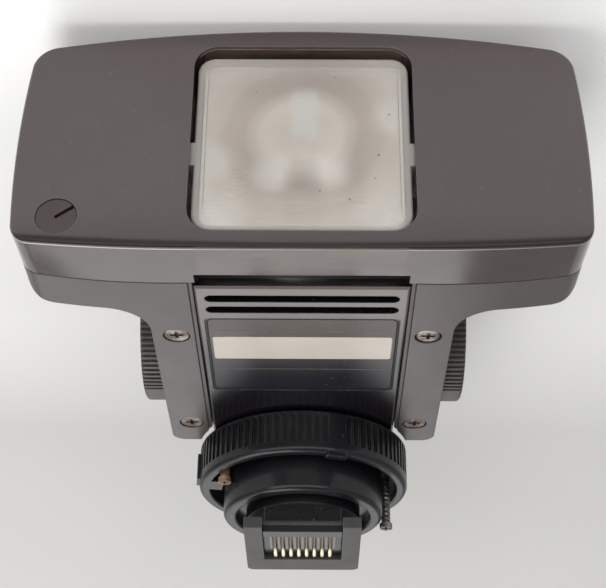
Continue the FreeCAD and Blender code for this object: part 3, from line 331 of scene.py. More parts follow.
def addBump(tree, shader, height, strength, distance, edge=0.0):
    bump = tree.nodes.new("ShaderNodeBump")
    bump.inputs["Strength"].default_value = strength
    bump.inputs["Distance"].default_value = distance
    tree.links.new(height, bump.inputs["Height"])
    if edge:
        tree.links.new(addBevel(tree, edge), bump.inputs["Normal"])
    tree.links.new(bump.outputs["Normal"], shader.inputs["Normal"])


plasticSettings = {
    "toneScale": 55,
    "dustPatch": 70,
    "dustScale": 2600,
    "dustTone": (0.50, 0.47, 0.43),
    "rubAndReflectionScale": 260,
    "rubAndReflectionTone": (0.30, 0.28, 0.27),
    "rubRadius": 0.308 * mm,
    "wearScale": 140,
    "mattRoughness": 0.9,
    "coatRoughness": 0.12,
    "edgeRadius": 0.22 * mm,
    "grainScale": 2600,
    "grainDepth": 0.012 * mm,
    "bump": 0.35,
    "swellScale": 95,
    "scratchScale": 120,
    "scratchStretch": (0.6, 4.0, 16.0),
}


def mouldedPlastic(name, tone, other, roughness, dust=0.0, worn=0.0, coat=0.0, gloss=0.5, scratches=0.0,
                   swell=0.0, shade=None, polish=None, matt=None):
    # a slow change of tone, a fine grain, fine dust, hairline scratches and edges rubbed paler
    values = plasticSettings
    material, tree, shader, place = startMaterial(name)
    slow = addNoise(tree, place, values["toneScale"], 4, 0.6)
    colour = addRamp(tree, slow, ((0.36, tone), (0.66, other)))
    if shade:
        colour = shade(tree, place, colour)
    if dust:
        where = addRange(tree, addNoise(tree, place, values["dustPatch"], 2), 0.42, 0.62, 0.15, 1)
        specks = addRange(tree, addNoise(tree, place, values["dustScale"], 1), 0.71, 0.80, 0, dust)
        colour = addMix(tree, addMath(tree, "MULTIPLY", where, specks), colour, values["dustTone"])
    if worn:
        flat = tree.nodes.new("ShaderNodeNewGeometry").outputs["Normal"]
        turn = addDot(tree, addBevel(tree, values["rubRadius"]), flat)
        rubbed = addRange(tree, turn, 0.97, 0.78, 0, worn)
        patchy = addRange(tree, addNoise(tree, place, values["rubAndReflectionScale"], 3, 0.6), 0.38, 0.62, 0.2, 1)
        colour = addMix(tree, addMath(tree, "MULTIPLY", rubbed, patchy), colour, values["rubAndReflectionTone"])
    tree.links.new(colour, shader.inputs["Base Color"])
    rough = addRange(tree, addNoise(tree, place, values["wearScale"], 5, 0.65), 0.3, 0.7, *roughness)
    if polish:
        low, high, smoother = polish
        level = addRange(tree, addAxis(tree, place, "Z"), low, high, 1, smoother)
        rough = addMath(tree, "MULTIPLY", rough, level)
    if matt:
        missing = addMath(tree, "SUBTRACT", values["mattRoughness"], rough)
        rough = addMath(tree, "MULTIPLY_ADD", missing, matt(tree, place), rough)
    tree.links.new(rough, shader.inputs["Roughness"])
    shader.inputs["Specular IOR Level"].default_value = gloss
    shader.inputs["Coat Weight"].default_value = coat
    shader.inputs["Coat Roughness"].default_value = values["coatRoughness"]
    height = addNoise(tree, place, values["grainScale"], 2)
    if swell:
        waves = addNoise(tree, place, values["swellScale"], 1, 0.4)
        waves = addMath(tree, "MULTIPLY", waves, swell * mm / values["grainDepth"])
        height = addMath(tree, "ADD", height, waves)
    if scratches:
        lines = addNoise(tree, place, values["scratchScale"], 2, stretch=values["scratchStretch"])
        height = addMath(tree, "ADD", height, addRange(tree, lines, 0.61, 0.63, 0, -scratches))
    addBump(tree, shader, height, values["bump"], values["grainDepth"], values["edgeRadius"])
    return material


metalSettings = {
    "toneScale": 420,
    "grainScale": 3200,
    "grainDepth": 0.02 * mm,
    "edgeRadius": 0.08 * mm,
    "bump": 0.25,
}


def platedMetal(name, tone, dull, roughness, soil=0.3):
    values = metalSettings
    material, tree, shader, place = startMaterial(name)
    shader.inputs["Metallic"].default_value = 1.0
    slow = addNoise(tree, place, values["toneScale"], 4, 0.6)
    colour = addRamp(tree, slow, ((0.38, tone), (0.38 + 0.5 * (1 - soil), dull)))
    tree.links.new(colour, shader.inputs["Base Color"])
    tree.links.new(addRange(tree, slow, 0.3, 0.7, *roughness), shader.inputs["Roughness"])
    grain = addNoise(tree, place, values["grainScale"], 2)
    addBump(tree, shader, grain, values["bump"], values["grainDepth"], values["edgeRadius"])
    return material


# the pane: places across and up are in millimetres
paneSettings = {
    "tone": (0.98, 0.925, 0.855),
    "pale": (1.0, 0.955, 0.895),
    "shadow": (0.69, 0.62, 0.56),
    "glow": (1.0, 0.985, 0.955),
    "streakTone": (0.985, 1.0, 0.985),
    "dirtTone": (0.35, 0.30, 0.26),
    "cloudScale": 45,
    "roughness": (0.26, 0.34),
    "transmission": 0.66,
    "refraction": 1.46,
    "face": -65.5 * mm,
    "middle": 35.0 * mm,
    "rings": ((0.0, 0.30), (0.36, 0.12), (0.45, 0.5), (0.54, 0.85), (0.66, 0.75), (0.80, 0.36), (0.95, 0.10),
              (1.0, 0.05)),
    "reach": 15.0 * mm,
    "wobble": 2.4 * mm,
    "wobbleScale": 90,
    "glows": (((-4.2, 28.6), 2.3), ((3.6, 29.0), 2.3), ((-12.6, 30.5), 2.8), ((12.4, 38.0), 2.6),
              ((-10.6, 21.8), 3.0), ((10.4, 21.8), 3.0)),
    "glowSoft": 1.6 * mm,
    "glowShare": 0.8,
    "streak": (-1.5 * mm, 1.9 * mm, 34.5 * mm, 42.2 * mm),
    "streakSoft": (0.7 * mm, 1.4 * mm),
    "streakShare": 0.75,
    "frameHalf": (12.85 * mm, 12.5 * mm),
    "frameMiddle": 33.9 * mm,
    "frameFade": (9.5 * mm, 12.0 * mm),
    "frameLines": ((0.0, 0.14, (0.62, 0.57, 0.51)), (0.55, 0.66, (0.70, 0.65, 0.58)),
                   (0.16, 0.52, (1.0, 0.985, 0.95))),
    "lineSoft": 0.05 * mm,
    "linePitch": 0.62 * mm,
    "lineDepth": 0.03 * mm,
    "fineScale": 1500,
    "fineShare": 0.35,
    "edgeRadius": 0.15 * mm,
    "dirt": ((6.2, 24.6, 0.16), (11.6, 38.3, 0.14), (10.1, 31.6, 0.17), (9.6, 27.9, 0.12), (2.3, 25.9, 0.15),
             (-6.3, 42.1, 0.10), (4.4, 44.6, 0.09)),
}


def paneShadows(tree, place, colour):
    # painted light and shade: what shows through the pane is painted onto it, the shadowed rings of the bowl,
    # soft glows and the lamp's streak as a painted highlight
    values = paneSettings
    flat = addFlat(tree, place)
    reach = addDistance(tree, flat, (0, 0, values["middle"]))
    wobble = addNoise(tree, place, values["wobbleScale"], 1)
    wobble = addMath(tree, "MULTIPLY_ADD", wobble, values["wobble"], -values["wobble"] / 2)
    out = addMath(tree, "DIVIDE", addMath(tree, "ADD", reach, wobble), values["reach"])
    rings = [(at, (level, level, level)) for at, level in values["rings"]]
    colour = addMix(tree, addRamp(tree, out, rings, ease=True), colour, values["shadow"])
    across, up = addAxis(tree, place, "X"), addAxis(tree, place, "Z")
    x0, x1, z0, z1 = values["streak"]
    wide, tall = (addSpan(tree, across, x0, x1, values["streakSoft"][0]),
                  addSpan(tree, up, z0, z1, values["streakSoft"][1]))
    streak = addMath(tree, "MULTIPLY", wide, tall)
    colour = addMix(tree, addMath(tree, "MULTIPLY", streak, values["streakShare"]), colour, values["streakTone"])
    for (x, z), size in values["glows"]:
        glow = addSpot(tree, flat, (x * mm, 0, z * mm), size * mm, values["glowSoft"])
        colour = addMix(tree, addMath(tree, "MULTIPLY", glow, values["glowShare"]), colour, values["glow"])
    # painted shade and highlight: thin dark and bright lines where the pane meets its wall
    side = addMath(tree, "SUBTRACT", addMath(tree, "ABSOLUTE", across), values["frameHalf"][0])
    rise = addMath(tree, "ABSOLUTE", addMath(tree, "SUBTRACT", up, values["frameMiddle"]))
    clear = addRange(tree, rise, *values["frameFade"], 1, 0.15, smooth=True)
    edge = addMath(tree, "MAXIMUM", side, addMath(tree, "SUBTRACT", rise, values["frameHalf"][1]))
    for low, high, tone in values["frameLines"]:
        line = addSpan(tree, edge, low * mm, high * mm, values["lineSoft"])
        colour = addMix(tree, addMath(tree, "MULTIPLY", line, clear), colour, tone)
    return colour


def frostedPane(name):
    # a milky pane with fine level lines moulded across it, and a few specks of dirt
    values = paneSettings
    material, tree, shader, place = startMaterial(name)
    shader.inputs["Transmission Weight"].default_value = values["transmission"]
    shader.inputs["IOR"].default_value = values["refraction"]
    cloud = addNoise(tree, place, values["cloudScale"], 2)
    colour = addRamp(tree, cloud, ((0.3, values["tone"]), (0.7, values["pale"])))
    colour = paneShadows(tree, place, colour)
    for x, z, radius in values["dirt"]:
        spot = addSpot(tree, place, (x * mm, values["face"], z * mm), radius * mm, values["lineSoft"])
        colour = addMix(tree, spot, colour, values["dirtTone"])
    tree.links.new(colour, shader.inputs["Base Color"])
    tree.links.new(addRange(tree, cloud, 0.3, 0.7, *values["roughness"]), shader.inputs["Roughness"])
    level = addMath(tree, "MULTIPLY", addAxis(tree, place, "Z"), 2 * math.pi / values["linePitch"])
    lines = addRange(tree, addMath(tree, "SINE", level), -1, 1, 0, 1)
    fine = addMath(tree, "MULTIPLY", addNoise(tree, place, values["fineScale"], 2), values["fineShare"])
    addBump(tree, shader, addMath(tree, "ADD", lines, fine), 0.5, values["lineDepth"], values["edgeRadius"])
    return material


glassSettings = {
    "refraction": 1.47,
    "smokeScale": 300,
    "tones": ((0.3, (0.97, 0.97, 0.96)), (0.8, (0.88, 0.88, 0.86))),
    "roughness": (0.02, 0.08),
}


def clearGlass(name):
    material, tree, shader, place = startMaterial(name)
    shader.inputs["Transmission Weight"].default_value = 1.0
    shader.inputs["IOR"].default_value = glassSettings["refraction"]
    smoke = addNoise(tree, place, glassSettings["smokeScale"], 3)
    tree.links.new(addRamp(tree, smoke, glassSettings["tones"]), shader.inputs["Base Color"])
    tree.links.new(addRange(tree, smoke, 0.3, 0.7, *glassSettings["roughness"]), shader.inputs["Roughness"])
    return material


bowlSettings = {
    "centre": (0, 0, 33.7 * mm),
    "rings": ((0.0, (0.90, 0.86, 0.81)), (0.40, (0.86, 0.82, 0.77)), (0.47, (0.50, 0.47, 0.43)),
              (0.62, (0.46, 0.43, 0.39)), (0.72, (0.97, 0.95, 0.91)), (1.0, (0.99, 0.98, 0.95))),
    "reach": 14.0 * mm,
    "wobble": 0.6 * mm,
    "wobbleScale": 200,
    "metallic": 0.85,
    "hazeScale": 160,
    "hazeDepth": 0.02 * mm,
    "roughness": (0.26, 0.36),
}


def metallisedBowl(name):
    # bright metallising, with a darker band half way out, a painted reflection
    values = bowlSettings
    material, tree, shader, place = startMaterial(name)
    shader.inputs["Metallic"].default_value = values["metallic"]
    reach = addDistance(tree, addFlat(tree, place), values["centre"])
    wobble = addMath(tree, "MULTIPLY", addNoise(tree, place, values["wobbleScale"], 2), values["wobble"])
    out = addMath(tree, "DIVIDE", addMath(tree, "ADD", reach, wobble), values["reach"])
    tree.links.new(addRamp(tree, out, values["rings"]), shader.inputs["Base Color"])
    haze = addNoise(tree, place, values["hazeScale"], 4, 0.6)
    tree.links.new(addRange(tree, haze, 0.3, 0.7, *values["roughness"]), shader.inputs["Roughness"])
    addBump(tree, shader, haze, 0.2, values["hazeDepth"])
    return material


def addFacing(tree, direction):
    # how far the surface faces a direction of the object's own, from -1 to 1
    own = tree.nodes.new("ShaderNodeVectorTransform")
    own.vector_type = "NORMAL"
    own.convert_from = "WORLD"
    own.convert_to = "OBJECT"
    tree.links.new(tree.nodes.new("ShaderNodeNewGeometry").outputs["Normal"], own.inputs[0])
    return addDot(tree, own.outputs[0], direction)


coverSettings = {
    "fade": (-53.0 * mm, -31.0 * mm),
    "black": (0.005, 0.004, 0.006),
}


def coverShade(tree, place, colour):
    # painted shade and reflection: the base's cover is pale at the front, and painted black towards the ring,
    # where it reflects the dark ring, and on its front edge and in its vents, which lie in shade
    rear = addRange(tree, addAxis(tree, place, "Y"), *coverSettings["fade"], 0, 1, smooth=True)
    upright = addRange(tree, addFacing(tree, (0, 0, -1)), 0.25, 0.75, 1, 0)
    return addMix(tree, addMath(tree, "MAXIMUM", rear, upright), colour, coverSettings["black"])


footSettings = {
    "neck": (1.8 * mm, 2.3 * mm),
    "neckShadeTone": (0.004, 0.004, 0.005),
    "neckPolish": 0.2,
}


def footShade(tree, place, colour):
    # painted shade: above its plate the foot is painted black, where it lies in shade
    neck = addRange(tree, addAxis(tree, place, "Z"), *footSettings["neck"], 0, 1)
    return addMix(tree, neck, colour, footSettings["neckShadeTone"])


bezelSettings = {
    "blotchScale": 28,
    "blotchTone": (0.058, 0.041, 0.042),
    "lowShadeTone": (0.036, 0.021, 0.021),
    "faceEdge": (-66.7 * mm, -66.3 * mm),
    "lowSpan": (17.0 * mm, 22.5 * mm),
    "edgeLevel": 16.43 * mm,
    "edgeSweep": 0.83,
    "bandSpan": (0.4 * mm, 1.3 * mm),
    "bandEnd": (-66.6 * mm, -66.4 * mm),
    "darkReflectionTone": (0.010, 0.003, 0.004),
    "highlightLine": (-66.35 * mm, -66.1 * mm),
    "highlightLineSoft": 0.06 * mm,
    "highlightLineSpan": (-30 * mm, 30 * mm),
    "highlightLineTone": (0.55, 0.50, 0.49),
    "rubAndReflectionScale": 120,
    "reflectionStretch": (0.5, 2.5, 1),
    "reflectionHalf": 13.6 * mm,
    "reflectionSoft": 0.3 * mm,
    "rubAndReflectionTone": (0.085, 0.062, 0.046),
}


def darkReflectionBand(tree, place):
    # the face's lower edge, which follows a shallow arc: here a dark reflection is painted and the gloss made
    # matt
    values = bezelSettings
    along, across = addAxis(tree, place, "Y"), addAxis(tree, place, "X")
    square = addMath(tree, "MULTIPLY", across, across)
    arc = addMath(tree, "MULTIPLY_ADD", square, values["edgeSweep"], values["edgeLevel"])
    above = addMath(tree, "SUBTRACT", addAxis(tree, place, "Z"), arc)
    band = addRange(tree, above, *values["bandSpan"], 1, 0, smooth=True)
    return addMath(tree, "MULTIPLY", band, addRange(tree, along, *values["bandEnd"], 1, 0))


def bezelShade(tree, place, colour):
    # painted shade: the gloss frame is darker and redder under the window, where the light falls off it
    values = bezelSettings
    blotch = addNoise(tree, place, values["blotchScale"], 3, 0.55)
    blotch = addRange(tree, blotch, 0.40, 0.64, 0, 0.5, smooth=True)
    colour = addMix(tree, blotch, colour, values["blotchTone"])
    along, across = addAxis(tree, place, "Y"), addAxis(tree, place, "X")
    skirt = addRange(tree, along, *values["faceEdge"], 0, 1, smooth=True)
    low = addRange(tree, addAxis(tree, place, "Z"), *values["lowSpan"], 0.55, 0, smooth=True)
    colour = addMix(tree, addMath(tree, "MAXIMUM", skirt, low), colour, values["lowShadeTone"])
    # painted reflection: the face's lower edge is a dull band painted dark, and the skirt's own edge has a thin
    # painted highlight
    colour = addMix(tree, darkReflectionBand(tree, place), colour, values["darkReflectionTone"])
    down = addRange(tree, addFacing(tree, (0, 0, -1)), 0.5, 0.9, 0, 1)
    # painted highlight: a thin pale line along the skirt's edge, fading towards the right
    line = addMath(tree, "MULTIPLY", addSpan(tree, along, *values["highlightLine"], values["highlightLineSoft"]), down)
    line = addMath(tree, "MULTIPLY", line, addRange(tree, across, *values["highlightLineSpan"], 0.95, 0.35))
    colour = addMix(tree, line, colour, values["highlightLineTone"])
    # painted reflection: the middle of the skirt, over the base, is painted brown in streaks
    middle = addSpan(tree, across, -values["reflectionHalf"], values["reflectionHalf"], values["reflectionSoft"])
    brownReflection = addMath(tree, "MULTIPLY", middle, down)
    reflectionStreaks = addNoise(tree, place, values["rubAndReflectionScale"], 4, 0.6, stretch=values["reflectionStretch"])
    reflectionStreaks = addRange(tree, reflectionStreaks, 0.35, 0.65, 0.2, 0.9)
    return addMix(tree, addMath(tree, "MULTIPLY", brownReflection, reflectionStreaks), colour, values["rubAndReflectionTone"])


plateSettings = {
    "fade": (-41.0 * mm, -27.0 * mm),
    "ringReflectionTone": (0.010, 0.010, 0.016),
}


def plateShade(tree, place, colour):
    # painted reflection: the plate fades from warm grey at the front to nearly black at the rear, where it
    # reflects the dark ring
    rear = addRange(tree, addAxis(tree, place, "Y"), *plateSettings["fade"], 0, 1, smooth=True)
    return addMix(tree, rear, colour, plateSettings["ringReflectionTone"])


keeperSettings = {
    "patchScale": 900,
    "dull": ((0.35, (0.26, 0.25, 0.235)), (0.66, (0.09, 0.085, 0.075))),
    "rust": ((0.35, (0.34, 0.22, 0.14)), (0.66, (0.10, 0.052, 0.028))),
    "metallic": (0.85, 0.15),
    "roughness": (0.35, 0.6),
    "depth": 0.03 * mm,
}


def keeperMetal(name):
    # the two screws beside the collar: the left one is rusted and caked with soil, the right one dull
    material, tree, shader, place = startMaterial(name)
    left = addRange(tree, addAxis(tree, place, "X"), -1 * mm, 1 * mm, 1, 0)
    patch = addNoise(tree, place, keeperSettings["patchScale"], 4, 0.65)
    dull = addRamp(tree, patch, keeperSettings["dull"])
    rust = addRamp(tree, patch, keeperSettings["rust"])
    tree.links.new(addMix(tree, left, dull, rust), shader.inputs["Base Color"])
    tree.links.new(addRange(tree, left, 0, 1, *keeperSettings["metallic"]), shader.inputs["Metallic"])
    tree.links.new(addRange(tree, patch, 0.3, 0.7, *keeperSettings["roughness"]), shader.inputs["Roughness"])
    addBump(tree, shader, patch, 0.4, keeperSettings["depth"])
    return material


goldSettings = {
    "tarnishAndShade": (0.1 * mm, 1.3 * mm),
    "patchScale": 1800,
    "bright": ((0.35, (0.98, 0.88, 0.66)), (0.7, (0.88, 0.70, 0.42))),
    "dark": ((0.35, (0.17, 0.12, 0.065)), (0.7, (0.30, 0.21, 0.11))),
    "roughness": (0.30, 0.42),
    "depth": 0.01 * mm,
}


def springMetal(name):
    # gold plate, pale at the contacts' tips, and tarnished brown along their stems, painted darker there as
    # shade
    material, tree, shader, place = startMaterial(name)
    shader.inputs["Metallic"].default_value = 1.0
    along = addRange(tree, addAxis(tree, place, "Y"), *goldSettings["tarnishAndShade"], 0, 1, smooth=True)
    patch = addNoise(tree, place, goldSettings["patchScale"], 3, 0.6)
    bright = addRamp(tree, patch, goldSettings["bright"])
    dark = addRamp(tree, patch, goldSettings["dark"])
    tree.links.new(addMix(tree, along, dark, bright), shader.inputs["Base Color"])
    tree.links.new(addRange(tree, patch, 0.3, 0.7, *goldSettings["roughness"]), shader.inputs["Roughness"])
    addBump(tree, shader, patch, 0.2, goldSettings["depth"])
    return material


plastics = {
    "bezelGloss": {"tone": (0.069, 0.050, 0.052), "other": (0.081, 0.061, 0.062), "roughness": (0.13, 0.19),
                   "dust": 0.12, "worn": 0.3, "coat": 0.25, "scratches": 0.6, "swell": 0.05,
                   "shade": bezelShade, "matt": darkReflectionBand},
    "housingSatin": {"tone": (0.052, 0.045, 0.045), "other": (0.066, 0.058, 0.057), "roughness": (0.34, 0.42),
                     "dust": 0.15, "worn": 0.25},
    "coverSatin": {"tone": (0.056, 0.048, 0.046), "other": (0.072, 0.063, 0.060), "roughness": (0.31, 0.38),
                   "dust": 0.2, "worn": 0.25},
    "baseSatin": {"tone": (0.135, 0.112, 0.108), "other": (0.155, 0.13, 0.125), "roughness": (0.20, 0.27),
                  "dust": 0.15, "worn": 0.3, "coat": 0.2, "shade": coverShade},
    "baseBlack": {"tone": (0.012, 0.010, 0.011), "other": (0.018, 0.016, 0.017), "roughness": (0.40, 0.50),
                  "dust": 0.1, "worn": 0.2},
    "plateSatin": {"tone": (0.062, 0.050, 0.043), "other": (0.076, 0.062, 0.054), "roughness": (0.26, 0.34),
                   "dust": 0.3, "gloss": 0.35, "shade": plateShade},
    "blackPlastic": {"tone": (0.004, 0.004, 0.006), "other": (0.008, 0.007, 0.010), "roughness": (0.34, 0.42),
                     "dust": 0.15, "worn": 0.25, "coat": 0.3, "gloss": 0.2},
    "knobBlack": {"tone": (0.050, 0.043, 0.042), "other": (0.062, 0.055, 0.054), "roughness": (0.36, 0.46),
                  "dust": 0.2, "worn": 0.3},
    "footPlastic": {"tone": (0.028, 0.026, 0.023), "other": (0.040, 0.037, 0.033), "roughness": (0.46, 0.56),
                    "dust": 0.2, "worn": 0.4, "shade": footShade,
                    "polish": (*footSettings["neck"], footSettings["neckPolish"])},
    "lockGloss": {"tone": (0.034, 0.017, 0.018), "other": (0.044, 0.024, 0.025), "roughness": (0.16, 0.24),
                  "dust": 0.1, "worn": 0.2, "coat": 0.2},
    "washerFibre": {"tone": (0.16, 0.10, 0.06), "other": (0.22, 0.14, 0.08), "roughness": (0.6, 0.8)},
    "ceramicBase": {"tone": (0.62, 0.60, 0.54), "other": (0.70, 0.68, 0.62), "roughness": (0.5, 0.65)},
    "boardGreen": {"tone": (0.02, 0.10, 0.05), "other": (0.03, 0.14, 0.07), "roughness": (0.3, 0.4)},
    "boardBlack": {"tone": (0.02, 0.02, 0.02), "other": (0.03, 0.03, 0.03), "roughness": (0.35, 0.5)},
    "printCream": {"tone": (0.50, 0.45, 0.40), "other": (0.56, 0.51, 0.46), "roughness": (0.35, 0.42),
                   "dust": 0.2},
    "printBlack": {"tone": (0.006, 0.005, 0.006), "other": (0.010, 0.009, 0.010), "roughness": (0.4, 0.5),
                   "gloss": 0.2},
    "printGrey": {"tone": (0.15, 0.14, 0.135), "other": (0.18, 0.17, 0.16), "roughness": (0.35, 0.45)},
    "carrierBeige": {"tone": (0.16, 0.145, 0.125), "other": (0.21, 0.19, 0.165), "roughness": (0.42, 0.52),
                     "dust": 0.4},
}

metals = {
    "screwNickel": {"tone": (0.34, 0.31, 0.28), "dull": (0.13, 0.10, 0.08), "roughness": (0.34, 0.5),
                    "soil": 0.7},
    "axleSteel": {"tone": (0.56, 0.56, 0.56), "dull": (0.44, 0.44, 0.44), "roughness": (0.22, 0.36)},
    "bracketSteel": {"tone": (0.50, 0.50, 0.49), "dull": (0.38, 0.37, 0.36), "roughness": (0.3, 0.45)},
}

materials = {name: mouldedPlastic(name, **look) for name, look in plastics.items()}
materials.update({name: platedMetal(name, **look) for name, look in metals.items()})
for makeMaterial, name in ((springMetal, "contactGold"), (keeperMetal, "keeperSteel"),
                           (frostedPane, "lensFrosted"), (metallisedBowl, "reflectorMirror"),
                           (clearGlass, "bulbGlass")):
    materials[name] = makeMaterial(name)

finishes = {
    "front_bezel": "bezelGloss", "upper_housing": "housingSatin", "left_cover": "coverSatin",
    "right_cover": "coverSatin", "base_cover": "baseSatin", "base_block": "baseBlack",
    "rating_plate": "plateSatin", "lock_ring": "blackPlastic",
    "shoe_collar": "blackPlastic", "shoe_foot": "footPlastic", "contact_carrier": "blackPlastic",
    "contact_springs": "contactGold", "ring_screws": "keeperSteel", "cover_screws": "screwNickel",
    "foot_screws": "screwNickel", "tilt_axle": "axleSteel", "friction_washers": "washerFibre",
    "knob_washers": "washerFibre", "left_knob": "knobBlack", "right_knob": "knobBlack",
    "bezel_lock": "lockGloss", "window_lens": "lensFrosted", "reflector": "reflectorMirror",
    "lamp_bulb": "bulbGlass", "lamp_base": "ceramicBase",
    "lamp_bracket": "bracketSteel", "driver_board": "boardGreen", "board_parts": "boardBlack",
}

for nodeName, finish in finishes.items():
    slots = nodes[nodeName].data.materials
    slots.clear()
    slots.append(materials[finish])
print("materials: every CAD piece has its finish")


# geometry nodes: what repeats is made by a tree with named sizes

socketKinds = {float: "NodeSocketFloat", int: "NodeSocketInt", tuple: "NodeSocketVector"}


def startTree(name, sizes):
    tree = bpy.data.node_groups.new(name, "GeometryNodeTree")
    tree.interface.new_socket("Geometry", in_out="OUTPUT", socket_type="NodeSocketGeometry")
    for label, value in sizes.items():
        tree.interface.new_socket(label, in_out="INPUT", socket_type=socketKinds[type(value)])
    return tree, tree.nodes.new("NodeGroupInput").outputs


def addNode(tree, kind, links=None, **settings):
    node = tree.nodes.new(kind)
    for label, value in settings.items():
        setattr(node, label, value)
    for socket, value in (links or {}).items():
        if hasattr(value, "is_output"):
            tree.links.new(value, node.inputs[socket])
        else:
            node.inputs[socket].default_value = value
    return node


def runTree(name, tree, geometry, sizes, material):
    solid = addNode(tree, "GeometryNodeRealizeInstances", {"Geometry": geometry})
    painted = addNode(tree, "GeometryNodeSetMaterial", {"Geometry": solid.outputs[0], "Material": material})
    tree.links.new(painted.outputs[0], tree.nodes.new("NodeGroupOutput").inputs[0])
    holder = bpy.data.objects.new(name, bpy.data.meshes.new(name + "Seed"))
    scene.collection.objects.link(holder)
    maker = holder.modifiers.new("maker", "NODES")
    maker.node_group = tree
    for item in tree.interface.items_tree:
        if item.in_out == "INPUT":
            maker[item.identifier] = sizes[item.name]
    bpy.context.view_layer.update()
    shaped = holder.evaluated_get(bpy.context.evaluated_depsgraph_get())
    mesh = bpy.data.meshes.new_from_object(shaped)
    mesh.name = name
    holder.modifiers.clear()
    holder.data = mesh
    return holder


mergeReach = 0.002 * mm


def finishMesh(piece, angle):
    # merged, with faces outward and smooth except at edges sharper than the angle
    shape = bmesh.new()
    shape.from_mesh(piece.data)
    bmesh.ops.remove_doubles(shape, verts=shape.verts, dist=mergeReach)
    bmesh.ops.recalc_face_normals(shape, faces=shape.faces)
    for face in shape.faces:
        face.smooth = True
    for edge in shape.edges:
        edge.smooth = len(edge.link_faces) == 2 and edge.calc_face_angle(0) < math.radians(angle)
    shape.to_mesh(piece.data)
    shape.free()


def addRow(tree, given, piece):
    # copies of a piece in a row along X, centred on it
    first = addMath(tree, "MULTIPLY", addMath(tree, "SUBTRACT", given["Count"], 1.0), -0.5)
    begin = addNode(tree, "ShaderNodeCombineXYZ", {"X": addMath(tree, "MULTIPLY", first, given["Pitch"])})
    step = addNode(tree, "ShaderNodeCombineXYZ", {"X": given["Pitch"]})
    row = addNode(tree, "GeometryNodeMeshLine", {
        "Count": given["Count"], "Start Location": begin.outputs[0], "Offset": step.outputs[0]})
    copies = addNode(tree, "GeometryNodeInstanceOnPoints", {"Points": row.outputs[0], "Instance": piece})
    return copies.outputs[0]


# the eight sprung contacts

springSettings = {
    "count": 8,
    "pitch": 1.27 * mm,
    "root": -5.58 * mm,
    "tip": 4.58 * mm,
    "rootLevel": 0.72 * mm,
    "drop": 0.54 * mm,
    "width": 0.60 * mm,
    "sheet": 0.20 * mm,
    "steps": 34,
    "sides": 12,
    "smoothAngle": 50,
    "fall": ((0.0, 0.0), (0.30, 0.10), (0.58, 0.50), (0.72, 0.95), (0.82, 1.0), (0.92, 0.86), (1.0, 0.45)),
    "breadth": ((0.0, 0.62), (0.55, 0.62), (0.70, 0.90), (0.80, 1.0), (0.90, 0.96), (0.97, 0.72), (1.0, 0.40)),
}


def addCurve(tree, factor, points):
    node = addNode(tree, "ShaderNodeFloatCurve", {"Value": factor})
    curve = node.mapping.curves[0]
    curve.points[0].location = points[0]
    curve.points[1].location = points[-1]
    for point in points[1:-1]:
        curve.points.new(*point)
    node.mapping.update()
    return node.outputs["Value"]


def makeSprings():
    values = springSettings
    sizes = {"Count": values["count"], "Pitch": values["pitch"], "Root": values["root"], "Tip": values["tip"],
             "Root Level": values["rootLevel"], "Drop": values["drop"], "Width": values["width"],
             "Sheet": values["sheet"]}
    tree, given = startTree("sprungContacts", sizes)
    start = addNode(tree, "ShaderNodeCombineXYZ", {"Y": given["Root"], "Z": given["Root Level"]})
    end = addNode(tree, "ShaderNodeCombineXYZ", {"Y": given["Tip"], "Z": given["Root Level"]})
    line = addNode(tree, "GeometryNodeCurvePrimitiveLine", {"Start": start.outputs[0], "End": end.outputs[0]})
    fine = addNode(tree, "GeometryNodeResampleCurve", {"Curve": line.outputs[0], "Count": values["steps"]})
    ring = addNode(tree, "GeometryNodeCurvePrimitiveCircle", {"Resolution": values["sides"], "Radius": 0.5})
    oval = addNode(tree, "ShaderNodeCombineXYZ", {"X": given["Width"], "Y": given["Sheet"], "Z": 1.0})
    flat = addNode(tree, "GeometryNodeTransform", {"Geometry": ring.outputs[0], "Scale": oval.outputs[0]})
    strip = addNode(tree, "GeometryNodeCurveToMesh", {
        "Curve": fine.outputs[0], "Profile Curve": flat.outputs[0], "Fill Caps": True})
    place = addNode(tree, "ShaderNodeSeparateXYZ", {0: addNode(tree, "GeometryNodeInputPosition").outputs[0]})
    run = addNode(tree, "ShaderNodeMapRange", {
        "Value": place.outputs["Y"], "From Min": given["Root"], "From Max": given["Tip"]})
    along = run.outputs["Result"]
    wide = addMath(tree, "MULTIPLY", place.outputs["X"], addCurve(tree, along, values["breadth"]))
    fall = addMath(tree, "MULTIPLY", addCurve(tree, along, values["fall"]), given["Drop"])
    lower = addMath(tree, "SUBTRACT", place.outputs["Z"], fall)
    moved = addNode(tree, "ShaderNodeCombineXYZ", {"X": wide, "Y": place.outputs["Y"], "Z": lower})
    bent = addNode(tree, "GeometryNodeSetPosition", {
        "Geometry": strip.outputs[0], "Position": moved.outputs[0]})
    row = addRow(tree, given, bent.outputs[0])
    piece = runTree("sprungContacts", tree, row, sizes, materials["contactGold"])
    finishMesh(piece, values["smoothAngle"])
    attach(piece, "base")
    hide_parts("contact_springs")


makeSprings()


# the comb of teeth between the contacts, moulded on their carrier

combSettings = {
    "count": 9,
    "pitch": 1.27 * mm,
    "width": 0.44 * mm,
    "front": -5.5 * mm,
    "rear": 0.7 * mm,
    "low": 0.34 * mm,
    "high": 0.86 * mm,
    "rounding": 0.10 * mm,
    "cornerSteps": 3,
    "smoothAngle": 40,
}


